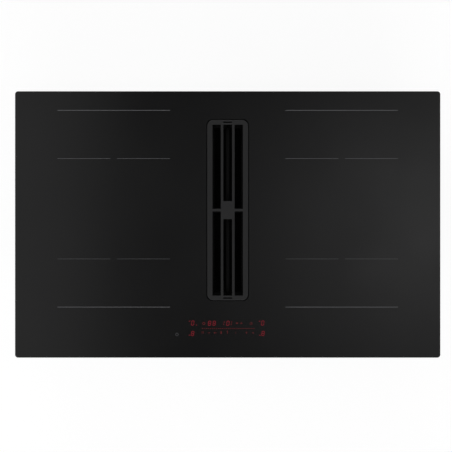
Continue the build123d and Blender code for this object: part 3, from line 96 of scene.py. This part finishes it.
studio = {
    "ceiling": 0.04,  # grey straight overhead, which the glass mirrors
    "wall": 0.9,
    "fade": (0.05, 0.6),  # height, as a sine, over which the walls turn into the ceiling
    "floorGlow": 0.88,  # for rays that see the floor, so that it reads white
    "floorSeen": "#8f8f8f",  # takes the shadow on top of the glow
    "floorBounce": "#e8e8e8",
    "lamps": (
        # name, place, aimed at, size, watts
        ("lampRight", (1.07, 0.0, 2.8), (1.07, 0.0, 0.0), (1.64, 0.54), 4.1),
        ("lampLeft", (-0.56, -0.04, 1.0), (-0.56, -0.04, 0.0), (0.52, 1.08), 0.93),
        ("lampFront", (0.3, -2.3, 1.6), (0.0, 0.0, -0.05), (3.0, 1.4), 26),
        ("lampBack", (-0.3, 2.5, 1.6), (0.0, 0.0, -0.05), (3.0, 1.4), 22),
    ),
}


def hexColour(code):
    # sRGB hex to linear light
    channels = np.array([int(code[i:i + 2], 16) for i in (1, 3, 5)]) / 255
    linear = np.where(channels <= 0.04045, channels / 12.92, ((channels + 0.055) / 1.055) ** 2.4)
    return (*linear.tolist(), 1.0)


def addNode(tree, kind, settings=None, inputs=None):
    # adds one node, sets its properties and sets or links its inputs
    made = tree.nodes.new("ShaderNode" + kind)
    for key, value in (settings or {}).items():
        setattr(made, key, value)
    for key, value in (inputs or {}).items():
        if isinstance(value, bpy.types.NodeSocket):
            tree.links.new(value, made.inputs[key])
        else:
            made.inputs[key].default_value = value
    return made


def addLamps():
    for name, place, target, size, watts in studio["lamps"]:
        data = bpy.data.lights.new(name, "AREA")
        data.shape = "RECTANGLE"
        data.size, data.size_y = size
        data.energy = watts
        lamp = bpy.data.objects.new(name, data)
        bpy.context.collection.objects.link(lamp)
        lamp.location = place
        aim = Vector(target) - Vector(place)
        lamp.rotation_euler = aim.to_track_quat("-Z", "Y").to_euler()


def makeWorld():
    # pale walls that fade to a dim ceiling
    world = bpy.data.worlds.new("studioWorld")
    bpy.context.scene.world = world
    world.use_nodes = True
    tree = world.node_tree
    tree.nodes.clear()
    place = addNode(tree, "TexCoord")
    height = addNode(tree, "SeparateXYZ", inputs={0: place.outputs["Generated"]})
    fade = addNode(tree, "MapRange", {"interpolation_type": "SMOOTHSTEP"}, {
        "Value": height.outputs["Z"], "From Min": studio["fade"][0], "From Max": studio["fade"][1],
        "To Min": studio["wall"], "To Max": studio["ceiling"],
    })
    path = addNode(tree, "LightPath")
    level = addNode(tree, "Mix", {"data_type": "FLOAT"}, {
        0: path.outputs["Is Camera Ray"], 2: fade.outputs[0], 3: 1.0,
    })
    shade = addNode(tree, "Background", inputs={"Strength": level.outputs[0]})
    shade.inputs["Color"].default_value = (1, 1, 1, 1)
    addNode(tree, "OutputWorld", inputs={"Surface": shade.outputs[0]})


def addFloor():
    half = 8.0
    corners = np.array([(-half, -half), (half, -half), (half, half), (-half, half)])
    points = np.column_stack([corners, np.full(4, standLevel)])
    mesh = bpy.data.meshes.new("floor")
    mesh.from_pydata(points.tolist(), [], [(0, 1, 2, 3)])
    floor = bpy.data.objects.new("floor", mesh)
    bpy.context.collection.objects.link(floor)
    paint = bpy.data.materials.new("paintedFloor")
    paint.use_nodes = True
    tree = paint.node_tree
    tree.nodes.clear()
    path = addNode(tree, "LightPath")
    direct = addNode(tree, "Math", {"operation": "ADD", "use_clamp": True}, {
        0: path.outputs["Is Camera Ray"], 1: path.outputs["Is Glossy Ray"],
    })
    seen = addNode(tree, "Math", {"operation": "ADD", "use_clamp": True}, {
        0: direct.outputs[0], 1: path.outputs["Is Transmission Ray"],
    })
    strength = addNode(tree, "Math", {"operation": "MULTIPLY"}, {
        0: seen.outputs[0], 1: studio["floorGlow"],
    })
    glow = addNode(tree, "Emission", inputs={"Strength": strength.outputs[0]})
    glow.inputs["Color"].default_value = (1, 1, 1, 1)
    tone = addNode(tree, "Mix", {"data_type": "RGBA"}, {
        0: seen.outputs[0], 6: hexColour(studio["floorBounce"]), 7: hexColour(studio["floorSeen"]),
    })
    matte = addNode(tree, "BsdfDiffuse", inputs={"Color": tone.outputs[2]})
    both = addNode(tree, "AddShader", inputs={0: glow.outputs[0], 1: matte.outputs[0]})
    addNode(tree, "OutputMaterial", inputs={"Surface": both.outputs[0]})
    mesh.materials.append(paint)


makeWorld()
addLamps()
addFloor()
bpy.context.scene.view_settings.view_transform = "Standard"
print("studio made")

# the touch panel's lit digits and symbols

panel = {
    # lengths in mm, and places from the middle of the glass
    "segmentGlow": 0.14,
    "dimGlow": 0.11,
    "light": "#ff2046",
    "dimLight": "#d03038",
    "haloGlow": 0.005,  # of the glow painted on the glass round a digit, for the light that spreads in it
    "haloReach": 9.0,
    "sliderHalo": 0.0022,
    "sliderHaloReach": (62.0, 5.0),  # along it and across it
    "digitHeight": 8.4,
    "digitWidth": 4.6,
    "stroke": 1.2,
    "segmentGap": 0.75,  # from a digit's corner to a segment's end, in stroke widths
    "slant": 0.12,
    "lift": 0.01,  # above the glass
    "thickness": 0.03,
    "layer": 0.004,  # between the tops of strokes that cross
    "layers": 8,  # heights before they repeat
    "strokeSteps": 16,  # points along a stroke
    "capSteps": 5,  # rings round each of its ends
    "tip": 0.004,  # half width that is left at the very end
    "sliderY": -203.0,
    "sliderEnds": (-49.1, 51.2),
    "sliderDashes": 27,
    "dash": 1.3,
    "dashWidth": 1.3,
    # middle of each digit and what it shows
    "digits": (
        (-68.2, -192.4, "0"), (-35.5, -192.8, "8"), (-26.3, -192.8, "8"), (0.5, -192.8, "0"),
        (68.3, -192.4, "0"), (-68.4, -212.8, "8"), (68.9, -212.7, "8"),
    ),
    # strokes: a line is x, y, x, y, width, and an arc is x, y, radius, from and to in degrees, width
    "bright": (
        (-75.4, -189.4, -73.2, -188.2, 1.1), (61.2, -189.4, 63.2, -188.2, 1.1),
        (-60.95, -196.2, -60.85, -196.2, 1.7), (-75.4, -216.0, -73.4, -216.0, 1.3),
        (61.8, -216.0, 63.6, -216.0, 1.3),
    ),
    "faint": (
        (-46.6, -193.2, 2.2, 0, 360, 1.2),
        (16.4, -192.2, 20.0, -192.2, 1.6), (17.3, -193.6, 19.1, -193.6, 1.2),
        (24.8, -193.6, 26.6, -190.8, 0.8), (26.6, -190.8, 28.4, -193.6, 0.8),
        (24.8, -193.6, 28.4, -193.6, 0.8),
        (45.7, -193.4, 2.3, 0, 360, 0.7), (45.7, -193.4, 45.7, -192.0, 0.6),
        (45.7, -193.4, 46.8, -193.4, 0.6),
        (-6.6, -189.6, -6.9, -191.6, 1.5), (-7.7, -193.8, -8.0, -195.8, 1.5),
        (7.9, -189.4, 7.6, -191.4, 1.4), (7.2, -193.8, 6.9, -195.8, 1.4),
        (-38.2, -211.5, -34.8, -211.5, 1.1),
        (-26.6, -211.4, -21.6, -211.4, 0.9), (-26.8, -211.4, -24.8, -209.9, 0.8),
        (-26.8, -211.4, -24.8, -212.9, 0.8),
        (-13.4, -213.0, -13.4, -209.0, 1.2), (-12.1, -213.0, -12.1, -209.0, 1.2),
        (15.7, -213.0, 15.7, -210.0, 0.6),
        (-50.2, -212.4, -50.2, -208.6, 0.9), (-47.6, -212.4, -47.6, -208.6, 0.9),
        (-0.4, -213.0, -0.4, -207.4, 1.1), (-1.6, -209.0, -0.4, -207.6, 0.7),
        (36.7, -213.4, 36.7, -209.4, 0.9), (36.7, -209.4, 35.2, -211.0, 0.7),
        (36.7, -209.4, 38.2, -211.0, 0.7),
        (47.9, -211.6, 51.3, -211.6, 0.8), (49.6, -213.3, 49.6, -209.9, 0.8),
    ),
    # the on and off key, which is the clearest of the printed ones
    "mainKey": ((-98.9, -214.8, 2.6, 125, 415, 1.0), (-98.9, -214.0, -98.9, -211.3, 1.0)),
}

# materials


def startMaterial(name, colour, roughness, metallic=0.0, ior=1.5):
    # a principled surface with its pattern coordinates in metres on the object
    made = bpy.data.materials.new(name)
    made.use_nodes = True
    tree = made.node_tree
    shader = tree.nodes["Principled BSDF"]
    shader.inputs["Base Color"].default_value = hexColour(colour)
    shader.inputs["Roughness"].default_value = roughness
    shader.inputs["Metallic"].default_value = metallic
    if metallic < 0.5:
        shader.inputs["IOR"].default_value = ior
    made.diffuse_color = hexColour(colour)
    place = addNode(tree, "TexCoord").outputs["Object"]
    return made, tree, shader, place


def grain(tree, place, sizeMm, detail=3.0, stretch=(1, 1, 1)):
    # noise whose blotches are about sizeMm wide, drawn out along an axis by a small stretch value
    laid = addNode(tree, "Mapping", inputs={"Vector": place, "Scale": stretch})
    return addNode(tree, "TexNoise", inputs={
        "Vector": laid.outputs[0], "Scale": 1 / (sizeMm * mm), "Detail": detail,
    }).outputs["Fac"]


def between(tree, amount, low, high):
    # a pattern spread between two colours, from 0 to 1, or between two numbers, from 0.3 to 0.7,
    # where most of a noise lies
    if isinstance(low, str):
        ends = {0: amount, 6: hexColour(low), 7: hexColour(high)}
        return addNode(tree, "Mix", {"data_type": "RGBA"}, ends).outputs[2]
    ends = {"Value": amount, "From Min": 0.3, "From Max": 0.7, "To Min": low, "To Max": high}
    return addNode(tree, "MapRange", inputs=ends).outputs[0]


def addBump(tree, shader, pattern, depthMm, strength=1.0):
    # bumps of this depth where the pattern is light
    bump = addNode(tree, "Bump", inputs={
        "Height": pattern, "Distance": depthMm * mm, "Strength": strength,
    })
    tree.links.new(bump.outputs[0], shader.inputs["Normal"])


def tint(tree, shader, amount, low, high):
    # the surface's colour runs between two colours with a pattern
    tree.links.new(between(tree, amount, low, high), shader.inputs["Base Color"])


def dimples(tree, place, sizeMm):
    # round cells about sizeMm wide, dark in the middle
    cells = addNode(tree, "TexVoronoi", inputs={"Vector": place, "Scale": 1 / (sizeMm * mm)})
    return cells.outputs["Distance"]


def mottled(name, colours, roughness, sizeMm, depthMm, metallic=0.0, ior=1.5, stretch=(1, 1, 1),
            sheen=0.5):
    # a moulded, coated or rolled surface: one grain drives its colour, gloss and relief
    made, tree, shader, place = startMaterial(name, colours[0], sum(roughness) / 2, metallic, ior)
    shader.inputs["Specular IOR Level"].default_value = sheen
    pattern = grain(tree, place, sizeMm, stretch=stretch)
    tint(tree, shader, pattern, *colours)
    tree.links.new(between(tree, pattern, *roughness), shader.inputs["Roughness"])
    addBump(tree, shader, pattern, depthMm)
    return made


def digitHalo(tree, place):
    # light spreads in the glass, shown as a glow painted into its emission: a round soft spot at each
    # digit and a long one at the slider
    total = 0.0
    along, across = panel["sliderHaloReach"]
    spots = [(x, y, 1.0, panel["haloReach"], panel["haloGlow"]) for x, y, _ in panel["digits"]]
    spots.append((0.0, panel["sliderY"], across / along, across, panel["sliderHalo"]))
    for x, y, squeeze, reach, glow in spots:
        fromMiddle = addNode(tree, "VectorMath", {"operation": "SUBTRACT"}, {
            0: place, 1: (x * mm, y * mm, glassTop),
        })
        squeezed = addNode(tree, "VectorMath", {"operation": "MULTIPLY"}, {
            0: fromMiddle.outputs[0], 1: (squeeze, 1, 1),
        })
        away = addNode(tree, "VectorMath", {"operation": "LENGTH"}, {0: squeezed.outputs[0]})
        spot = addNode(tree, "MapRange", {"interpolation_type": "SMOOTHERSTEP"}, {
            "Value": away.outputs["Value"], "From Min": 0.0, "From Max": reach * mm,
            "To Min": glow, "To Max": 0.0,
        })
        total = addNode(tree, "Math", {"operation": "ADD"}, {0: total, 1: spot.outputs[0]}).outputs[0]
    return total


def glassCeramic():
    # black glass ceramic, its face lightly etched: a soft sheen with a faint cloudiness, and a
    # ground edge that is duller
    made, tree, shader, place = startMaterial("glassCeramic", "#020203", 0.27, ior=1.52)
    cloud = grain(tree, place, 160, detail=2)
    facing = addNode(tree, "SeparateXYZ", inputs={0: addNode(tree, "NewGeometry").outputs["Normal"]})
    level = addNode(tree, "Math", {"operation": "ABSOLUTE"}, {0: facing.outputs["Z"]})
    edge = addNode(tree, "MapRange", inputs={
        "Value": level.outputs[0], "From Min": 0.8, "From Max": 0.95,
        "To Min": 0.6, "To Max": between(tree, cloud, 0.28, 0.315),
    })
    tree.links.new(edge.outputs[0], shader.inputs["Roughness"])
    tint(tree, shader, grain(tree, place, 1.2), "#020203", "#050506")
    # painted glow: the glass's emission holds soft red spots round the digits and the slider
    shader.inputs["Emission Color"].default_value = hexColour(panel["light"])
    tree.links.new(digitHalo(tree, place), shader.inputs["Emission Strength"])
    return made


frontBroken = {"middle": -66.0, "reach": 12.0}  # mm from the middle of the glass, and either way


def firedEnamel():
    # screen-printed grey enamel, fired on: chalky, with the screen's fine dots, and thinner on the
    # front pair of broken lines
    made, tree, shader, place = startMaterial("firedEnamel", "#757578", 0.55)
    dots = dimples(tree, place, 0.5)
    depth = addNode(tree, "SeparateXYZ", inputs={0: place}).outputs["Y"]
    thin = addNode(tree, "Math", {"operation": "COMPARE"}, {
        0: depth, 1: frontBroken["middle"] * mm, 2: frontBroken["reach"] * mm,
    })
    shade = addNode(tree, "Mix", {"data_type": "RGBA"}, {
        0: thin.outputs[0], 6: between(tree, dots, "#828285", "#68686b"),
        7: between(tree, dots, "#6e6e70", "#58585a"),
    })
    tree.links.new(shade.outputs[2], shader.inputs["Base Color"])
    return made


def powderCoat():
    # matte black powder coat on cast metal: a fine orange peel
    return mottled("powderCoat", ("#202021", "#262627"), (0.56, 0.68), 0.9, 0.04)


def blackCoatedSteel():
    # black powder coat on thin sheet
    return mottled("blackCoatedSteel", ("#1a1a1b", "#242425"), (0.42, 0.55), 0.7, 0.02)


def blackenedSteelAndShade():
    # the filters' grip bars: blackened and rough, much darker than the grille over them: partly the
    # steel's own black and partly painted shade, as they sit in the dim intake under the grille
    return mottled("blackenedSteelAndShade", ("#040404", "#080808"), (0.7, 0.85), 0.8, 0.02, sheen=0.2)


def sealFoam():
    # closed-cell foam tape: dull, with small pits
    made, tree, shader, place = startMaterial("sealFoam", "#2a2a2b", 0.9)
    cells = dimples(tree, place, 0.8)
    tint(tree, shader, cells, "#202021", "#323233")
    addBump(tree, shader, cells, 0.15)
    return made


def softSilicone():
    # moulded silicone: satin and slightly dusty
    return mottled("softSilicone", ("#161617", "#1e1e1f"), (0.55, 0.7), 2.0, 0.01)


def redSilicone():
    # heat-proof red silicone
    return mottled("redSilicone", ("#7a2418", "#8c2e20"), (0.5, 0.62), 2.0, 0.01)


def glassFilledNylon():
    # black nylon with glass fibre: pale flecks drawn out along the flow
    return mottled("glassFilledNylon", ("#161617", "#27272a"), (0.45, 0.62), 0.8, 0.02,
                   stretch=(1, 0.25, 1))


def collarNylonAndShade():
    # the same nylon moulded with a finer, duller face, its colour made far darker than that nylon:
    # painted shade, as the collar sits in the dim throat under the grille
    return mottled("collarNylonAndShade", ("#040404", "#080809"), (0.65, 0.78), 0.8, 0.02, sheen=0.2)


def polypropylene():
    # black polypropylene with an eroded mould finish
    return mottled("polypropylene", ("#1b1c1e", "#26272a"), (0.48, 0.6), 0.9, 0.05)


def greyPolypropylene():
    # flame-proofed polypropylene, a shade lighter
    return mottled("greyPolypropylene", ("#303135", "#3b3c41"), (0.45, 0.58), 1.1, 0.04)


def drawerPlastic():
    # dark grey ABS, smooth outside
    return mottled("drawerPlastic", ("#3a3b3e", "#434447"), (0.34, 0.44), 1.4, 0.01)


def fanPlastic():
    # black PBT with a low gloss
    return mottled("fanPlastic", ("#141415", "#1c1c1d"), (0.36, 0.48), 1.2, 0.01)


def whitePlastic():
    # ivory polycarbonate
    return mottled("whitePlastic", ("#cfccc2", "#dad7cd"), (0.35, 0.45), 1.5, 0.01)


def naturalNylon():
    # unpigmented nylon: milky
    return mottled("naturalNylon", ("#cdc9bb", "#dcd9cc"), (0.4, 0.5), 1.5, 0.01)


def filterEnamelAndShade():
    # black dishwasher-proof enamel on the filters' steel: a slightly pebbled satin, its colour darker
    # than the enamel's own black, with painted shade for the dim intake under the grille
    return mottled("filterEnamelAndShade", ("#030303", "#060607"), (0.6, 0.75), 1.4, 0.02, sheen=0.2)


def galvanisedSheet():
    # hot-dip galvanised sheet, temper rolled: zinc crystals a few millimetres wide that differ
    # faintly in grey and gloss, with soft, bent borders
    made, tree, shader, place = startMaterial("galvanisedSheet", "#9a9da0", 0.38, metallic=1.0)
    drift = addNode(tree, "TexNoise", inputs={"Vector": place, "Scale": 1 / (6 * mm), "Detail": 2})
    bent = addNode(tree, "VectorMath", {"operation": "MULTIPLY_ADD"}, {
        0: drift.outputs["Color"], 1: (4 * mm,) * 3, 2: place,
    })
    crystals = addNode(tree, "TexVoronoi", {"feature": "SMOOTH_F1"}, {
        "Vector": bent.outputs[0], "Scale": 1 / (5 * mm), "Smoothness": 0.35,
    })
    shadeOf = addNode(tree, "SeparateColor", inputs={0: crystals.outputs["Color"]})
    tint(tree, shader, shadeOf.outputs[0], "#94979a", "#a3a6a8")
    tree.links.new(between(tree, shadeOf.outputs[1], 0.33, 0.42), shader.inputs["Roughness"])
    addBump(tree, shader, grain(tree, place, 3.0), 0.01)
    return made


def zincPlate():
    # bright zinc plate, a little yellow, on pressed screws
    return mottled("zincPlate", ("#b3b1a8", "#c4c2ba"), (0.24, 0.36), 0.5, 0.006, metallic=1.0)


def springSteel():
    # zinc-plated spring steel
    return mottled("springSteel", ("#9c9a92", "#b0aea6"), (0.28, 0.4), 0.8, 0.008, metallic=1.0)


def dieCastAluminium():
    # as-cast aluminium: soft and slightly grainy
    return mottled("dieCastAluminium", ("#a3a4a6", "#b7b8ba"), (0.4, 0.52), 0.7, 0.02, metallic=1.0)


def millAluminium():
    # mill-finish sheet and extrusion: fine lines along the rolling direction
    return mottled("millAluminium", ("#b2b3b5", "#c6c7c9"), (0.26, 0.4), 0.7, 0.006, metallic=1.0,
                   stretch=(1, 0.03, 1))


def ridged(name, colour, roughness, colours, direction, sizeMm, depthMm, distortion=0.0):
    # metal in sheets, turns or strands, which show as fine lines in its colour and relief
    made, tree, shader, place = startMaterial(name, colour, roughness, metallic=1.0)
    lines = addNode(tree, "TexWave", {"bands_direction": direction}, {
        "Vector": place, "Scale": 1 / (sizeMm * mm), "Distortion": distortion,
    }).outputs["Fac"]
    tint(tree, shader, lines, *colours)
    addBump(tree, shader, lines, depthMm)
    return made


def laminatedIron():
    # stacked motor sheets: fine lines across the height
    return ridged("laminatedIron", "#6e6f72", 0.42, ("#55565a", "#7c7d80"), "Z", 6.3, 0.05)


def groundSteel():
    # ground and polished bearing steel
    return mottled("groundSteel", ("#b9babc", "#c9cacc"), (0.12, 0.2), 0.5, 0.003, metallic=1.0)


def drawnSteel():
    # deep-drawn steel can with a thin passivation
    return mottled("drawnSteel", ("#7c7d80", "#8f9093"), (0.3, 0.42), 1.2, 0.008, metallic=1.0,
                   stretch=(1, 1, 0.1))


def enamelledCopper():
    # enamelled copper wire: the turns show as ridges
    return ridged("enamelledCopper", "#a55a2c", 0.3, ("#7d3f1c", "#b8693a"), "Z", 5, 0.2)


def braidedLitz():
    # litz: bundled enamelled strands with a diagonal lay
    return ridged("braidedLitz", "#a9602f", 0.4, ("#7a3f1b", "#c07440"), "DIAGONAL", 5, 0.2,
                  distortion=2.0)


def pressedMica():
    # pressed mica sheet: pale flakes
    made, tree, shader, place = startMaterial("pressedMica", "#9c9484", 0.45)
    flakes = addNode(tree, "TexVoronoi", inputs={"Vector": place, "Scale": 1 / (3 * mm)})
    flakeShade = addNode(tree, "SeparateColor", inputs={0: flakes.outputs["Color"]}).outputs[0]
    tint(tree, shader, flakeShade, "#8d8574", "#b0a894")
    return made


def sinteredFerrite():
    # ferrite: charcoal, dense and dull
    return mottled("sinteredFerrite", ("#1d1e20", "#292a2d"), (0.5, 0.66), 0.6, 0.02)


def heatProofPlastic():
    # mineral-filled plastic in a warm grey
    return mottled("heatProofPlastic", ("#857f72", "#948e80"), (0.5, 0.62), 1.0, 0.02)


def sensorCeramic():
    # glazed ceramic bead
    return mottled("sensorCeramic", ("#d4d1c6", "#e2dfd5"), (0.2, 0.3), 1.5, 0.005)


def solderMask():
    # green solder mask with tracks showing through
    made, tree, shader, place = startMaterial("solderMask", "#12452a", 0.32)
    tracks = addNode(tree, "TexBrick", inputs={
        "Vector": place, "Scale": 1 / (22 * mm),
        "Color1": hexColour("#0f3f26"), "Color2": hexColour("#145231"),
        "Mortar": hexColour("#1f7044"), "Mortar Size": 0.03,
    })
    tree.links.new(tracks.outputs["Color"], shader.inputs["Base Color"])
    addBump(tree, shader, tracks.outputs["Fac"], 0.03)
    return made


def capacitorSleeve():
    # shrink sleeve in navy PVC
    return mottled("capacitorSleeve", ("#141a33", "#1c2442"), (0.25, 0.35), 1.8, 0.005)


def displayPlastic():
    # red-tinted display block
    return mottled("displayPlastic", ("#3a0a0c", "#4a1012"), (0.2, 0.3), 1.5, 0.004)


def glowing(name, colour, colours, light, strength):
    # a dark surface that also shines
    made, tree, shader, place = startMaterial(name, colour, 0.4)
    shader.inputs["Emission Color"].default_value = hexColour(light)
    shader.inputs["Emission Strength"].default_value = strength
    tint(tree, shader, grain(tree, place, 0.8), *colours)
    return made


def litSegment():
    # light-emitting segments seen through the dark glass
    return glowing("litSegment", "#2a0508", ("#24040a", "#30080c"),
                   panel["light"], panel["segmentGlow"])


def dimSegment():
    # symbols that are lit at a low level
    return glowing("dimSegment", "#1c0709", ("#180608", "#22090b"),
                   panel["dimLight"], panel["dimGlow"])


def paleSymbol():
    # grey printed ink, hardly lighter than the glass
    return mottled("paleSymbol", ("#48484b", "#525255"), (0.5, 0.6), 0.5, 0.002)


finishes = {
    glassCeramic: ("glass_plate",),
    firedEnamel: ("zone_markings",),
    powderCoat: ("intake_grille",),
    blackCoatedSteel: ("glass_frame",),
    blackenedSteelAndShade: ("filter_grip_front", "filter_grip_rear"),
    sealFoam: ("worktop_gasket", "collar_seal"),
    softSilicone: ("glass_adhesive", "grille_pads", "blower_grommets"),
    redSilicone: ("coil_buffers",),
    glassFilledNylon: ("impeller", "cable_gland"),
    collarNylonAndShade: ("intake_collar",),
    polypropylene: ("intake_shaft", "air_box_base", "outlet_spigot"),
    greyPolypropylene: ("volute_housing", "inlet_plate"),
    drawerPlastic: ("drip_tray",),
    fanPlastic: ("fan_frames", "fan_rotor_left", "fan_rotor_right", "terminal_box", "terminal_lid"),
    whitePlastic: ("touch_holder", "terminal_block"),
    naturalNylon: ("board_standoffs",),
    filterEnamelAndShade: ("filter_frame_front", "filter_frame_rear", "filter_mesh_front", "filter_mesh_rear"),
    galvanisedSheet: ("case_tray",),
    zincPlate: ("case_screws", "air_box_screws", "clamp_screws"),
    springSteel: ("clamp_claw_front_left", "clamp_claw_front_right", "clamp_claw_rear_left",
                  "clamp_claw_rear_right"),
    dieCastAluminium: ("motor_mount",),
    millAluminium: ("coil_carriers", "heat_sinks"),
    laminatedIron: ("motor_stator",),
    groundSteel: ("motor_bearings", "motor_shaft"),
    drawnSteel: ("motor_rotor",),
    enamelledCopper: ("motor_windings", "filter_chokes"),
    braidedLitz: ("coil_windings",),
    pressedMica: ("mica_sheets",),
    sinteredFerrite: ("coil_ferrites", "motor_magnets"),
    heatProofPlastic: ("coil_formers",),
    sensorCeramic: ("temperature_sensors",),
    solderMask: ("power_boards", "touch_board"),
    capacitorSleeve: ("power_capacitors",),
    displayPlastic: ("led_displays",),
}
materialOf = {}
for makeFinish, nodeNames in finishes.items():
    finish = makeFinish()
    for nodeName in nodeNames:
        materialOf[nodeName] = finish
        for holder in frame["nodes"][nodeName].material_slots:
            holder.material = finish
print("materials on", len(materialOf), "nodes")

# pieces

bodies = frame["record"]["behaviour"]["bodies"]
bodyOf = {node: body for body, nodes in bodies.items() for node in nodes}


def addPiece(name, points, faces, material, body):
    mesh = bpy.data.meshes.new(name)
    mesh.from_pydata(np.asarray(points).tolist(), [], np.asarray(faces).tolist())
    mesh.materials.append(material)
    mesh.validate()
    piece = bpy.data.objects.new(name, mesh)
    bpy.context.collection.objects.link(piece)
    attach(piece, body)
    return piece


def tubeFaces(count, around):
    # side faces of a tube of count rings with `around` points each
    ring, step = np.meshgrid(np.arange(count - 1), np.arange(around), indexing="ij")
    after = (step + 1) % around
    corners = (ring * around + step, ring * around + after,
               (ring + 1) * around + after, (ring + 1) * around + step)
    return np.stack(corners, axis=-1).reshape(-1, 4)


def middleLine(stroke):
    # points along a stroke: p(u) = start + u * (end - start) on a line, and on an arc
    # p(u) = centre + radius * (cos a, sin a) with a running evenly from one angle to the other
    share = np.linspace(0, 1, panel["strokeSteps"])[:, None]
    if len(stroke) == 5:
        start, end = np.array(stroke[0:2]), np.array(stroke[2:4])
        return start + share * (end - start)
    x, y, radius, fromDeg, toDeg = stroke[:5]
    angle = np.radians(fromDeg + share * (toDeg - fromDeg))
    return np.hstack([x + radius * np.cos(angle), y + radius * np.sin(angle)])


def inkStrokes(name, strokes, material):
    # Ribbons with round ends. The edges are p(u) -+ w/2 * n(u), where n is square to the line, and
    # at a distance e past an end the half width is sqrt((w/2)^2 - e^2). Each ring has four points:
    # left and right at the foot, then right and left at the top.
    lines = np.array([middleLine(stroke) for stroke in strokes])
    half = np.array([stroke[-1] for stroke in strokes])[:, None] / 2
    ahead = np.gradient(lines, axis=1)
    length = np.linalg.norm(ahead, axis=2, keepdims=True)
    tiny = 1e-6  # mm; a stroke this short is a dot and points along X
    ahead = np.where(length > tiny, ahead / np.maximum(length, tiny), (1.0, 0.0))
    turn = np.linspace(np.pi / 2, 0, panel["capSteps"] + 1)[:-1]  # round the end, from its tip
    past = half * np.sin(turn)
    before = lines[:, :1] - ahead[:, :1] * past[..., None]
    beyond = lines[:, -1:] + ahead[:, -1:] * past[:, ::-1, None]
    middle = np.concatenate([before, lines, beyond], axis=1)
    first, last = (end.repeat(len(turn), 1) for end in (ahead[:, :1], ahead[:, -1:]))
    ahead = np.concatenate([first, ahead, last], axis=1)
    across = np.stack([-ahead[..., 1], ahead[..., 0]], axis=-1)
    tip = half * np.cos(turn) + panel["tip"]
    reach = np.concatenate([tip, half.repeat(lines.shape[1], 1), tip[:, ::-1]], axis=1)[..., None]
    left, right = middle + across * reach, middle - across * reach
    foot = glassTop / mm + panel["lift"]
    top = foot + panel["thickness"] + panel["layer"] * (np.arange(len(strokes)) % panel["layers"])
    flat = np.stack([left, right, right, left], axis=2)
    height = np.empty(flat.shape[:3])
    height[..., :2] = foot
    height[..., 2:] = top[:, None, None]
    points = np.concatenate([flat, height[..., None]], axis=-1) * mm
    count, around = middle.shape[1], 4
    offsets = np.arange(len(strokes))[:, None] * count * around
    sides = (tubeFaces(count, around)[None] + offsets[..., None]).reshape(-1, 4)
    front = offsets + np.arange(around)[::-1]
    back = offsets + (count - 1) * around + np.arange(around)
    faces = np.concatenate([sides, front, back])
    piece = addPiece(name, points.reshape(-1, 3), faces, material, "cooktop")
    made = bmesh.new()
    made.from_mesh(piece.data)
    bmesh.ops.recalc_face_normals(made, faces=made.faces)
    made.to_mesh(piece.data)
    made.free()


def digitStrokes(x, y, figure):
    # seven segments round the digit's middle, leaning to the right
    half, tall = panel["digitWidth"] / 2, panel["digitHeight"] / 2
    gap = panel["stroke"] * panel["segmentGap"]
    segments = [
        (-half + gap, tall, half - gap, tall), (-half + gap, -tall, half - gap, -tall),
        (-half, gap, -half, tall - gap), (half, gap, half, tall - gap),
        (-half, -tall + gap, -half, -gap), (half, -tall + gap, half, -gap),
    ]
    if figure == "8":
        segments.append((-half + gap, 0, half - gap, 0))
    lean = panel["slant"]
    return [(x + ax + lean * ay, y + ay, x + bx + lean * by, y + by, panel["stroke"])
            for ax, ay, bx, by in segments]


def sliderStrokes():
    # a row of short dashes
    low, high = panel["sliderEnds"]
    reach, y = panel["dash"] / 2, panel["sliderY"]
    places = np.linspace(low, high, panel["sliderDashes"])
    return [(x - reach, y, x + reach, y, panel["dashWidth"]) for x in places]


def touchPanel():
    figures = [stroke for digit in panel["digits"] for stroke in digitStrokes(*digit)]
    inkStrokes("panelDigits", figures + list(panel["bright"]), litSegment())
    inkStrokes("panelSymbols", list(panel["faint"]) + sliderStrokes(), dimSegment())
    inkStrokes("panelMainKey", panel["mainKey"], paleSymbol())


touchPanel()
print("touch panel drawn")

# rounded edges on the pieces that are handled or seen close

softened = {
    # node: edge radius in mm, small enough that no two roundings run into each other
    "intake_grille": 0.4,
    "drip_tray": 0.5,
    "air_box_base": 0.3,
    "intake_shaft": 0.4,
    "volute_housing": 0.4,
    "terminal_box": 0.2,
    "terminal_lid": 0.4,
    "glass_frame": 0.3,
    "cable_gland": 0.3,
}
rounding = {
    "sharpAngle": math.radians(40),  # an edge is rounded from here on
    "flatAngle": math.radians(1),  # faces that bend less are one face
    "samePlace": 1e-6,  # m between corners that are merged
    "steps": 2,
}


def softenEdges(node, radius):
    # a copy of the CAD node with its corners merged and its sharp edges rounded
    source = frame["nodes"][node]
    made = bmesh.new()
    made.from_mesh(source.data)
    bmesh.ops.remove_doubles(made, verts=made.verts, dist=rounding["samePlace"])
    bmesh.ops.dissolve_limit(made, angle_limit=rounding["flatAngle"], verts=made.verts,
                             edges=made.edges)
    sharp = [edge for edge in made.edges if edge.calc_face_angle(0) > rounding["sharpAngle"]]
    bmesh.ops.bevel(made, geom=sharp, offset=radius * mm, segments=rounding["steps"], profile=0.5,
                    affect="EDGES", clamp_overlap=False)
    mesh = bpy.data.meshes.new(node + "_soft")
    made.to_mesh(mesh)
    made.free()
    mesh.materials.clear()
    mesh.materials.append(materialOf[node])
    piece = bpy.data.objects.new(node + "_soft", mesh)
    bpy.context.collection.objects.link(piece)
    for face in mesh.polygons:
        face.use_smooth = False
    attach(piece, bodyOf[node])
    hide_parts(node)


for node, radius in softened.items():
    softenEdges(node, radius)
print("edges rounded")
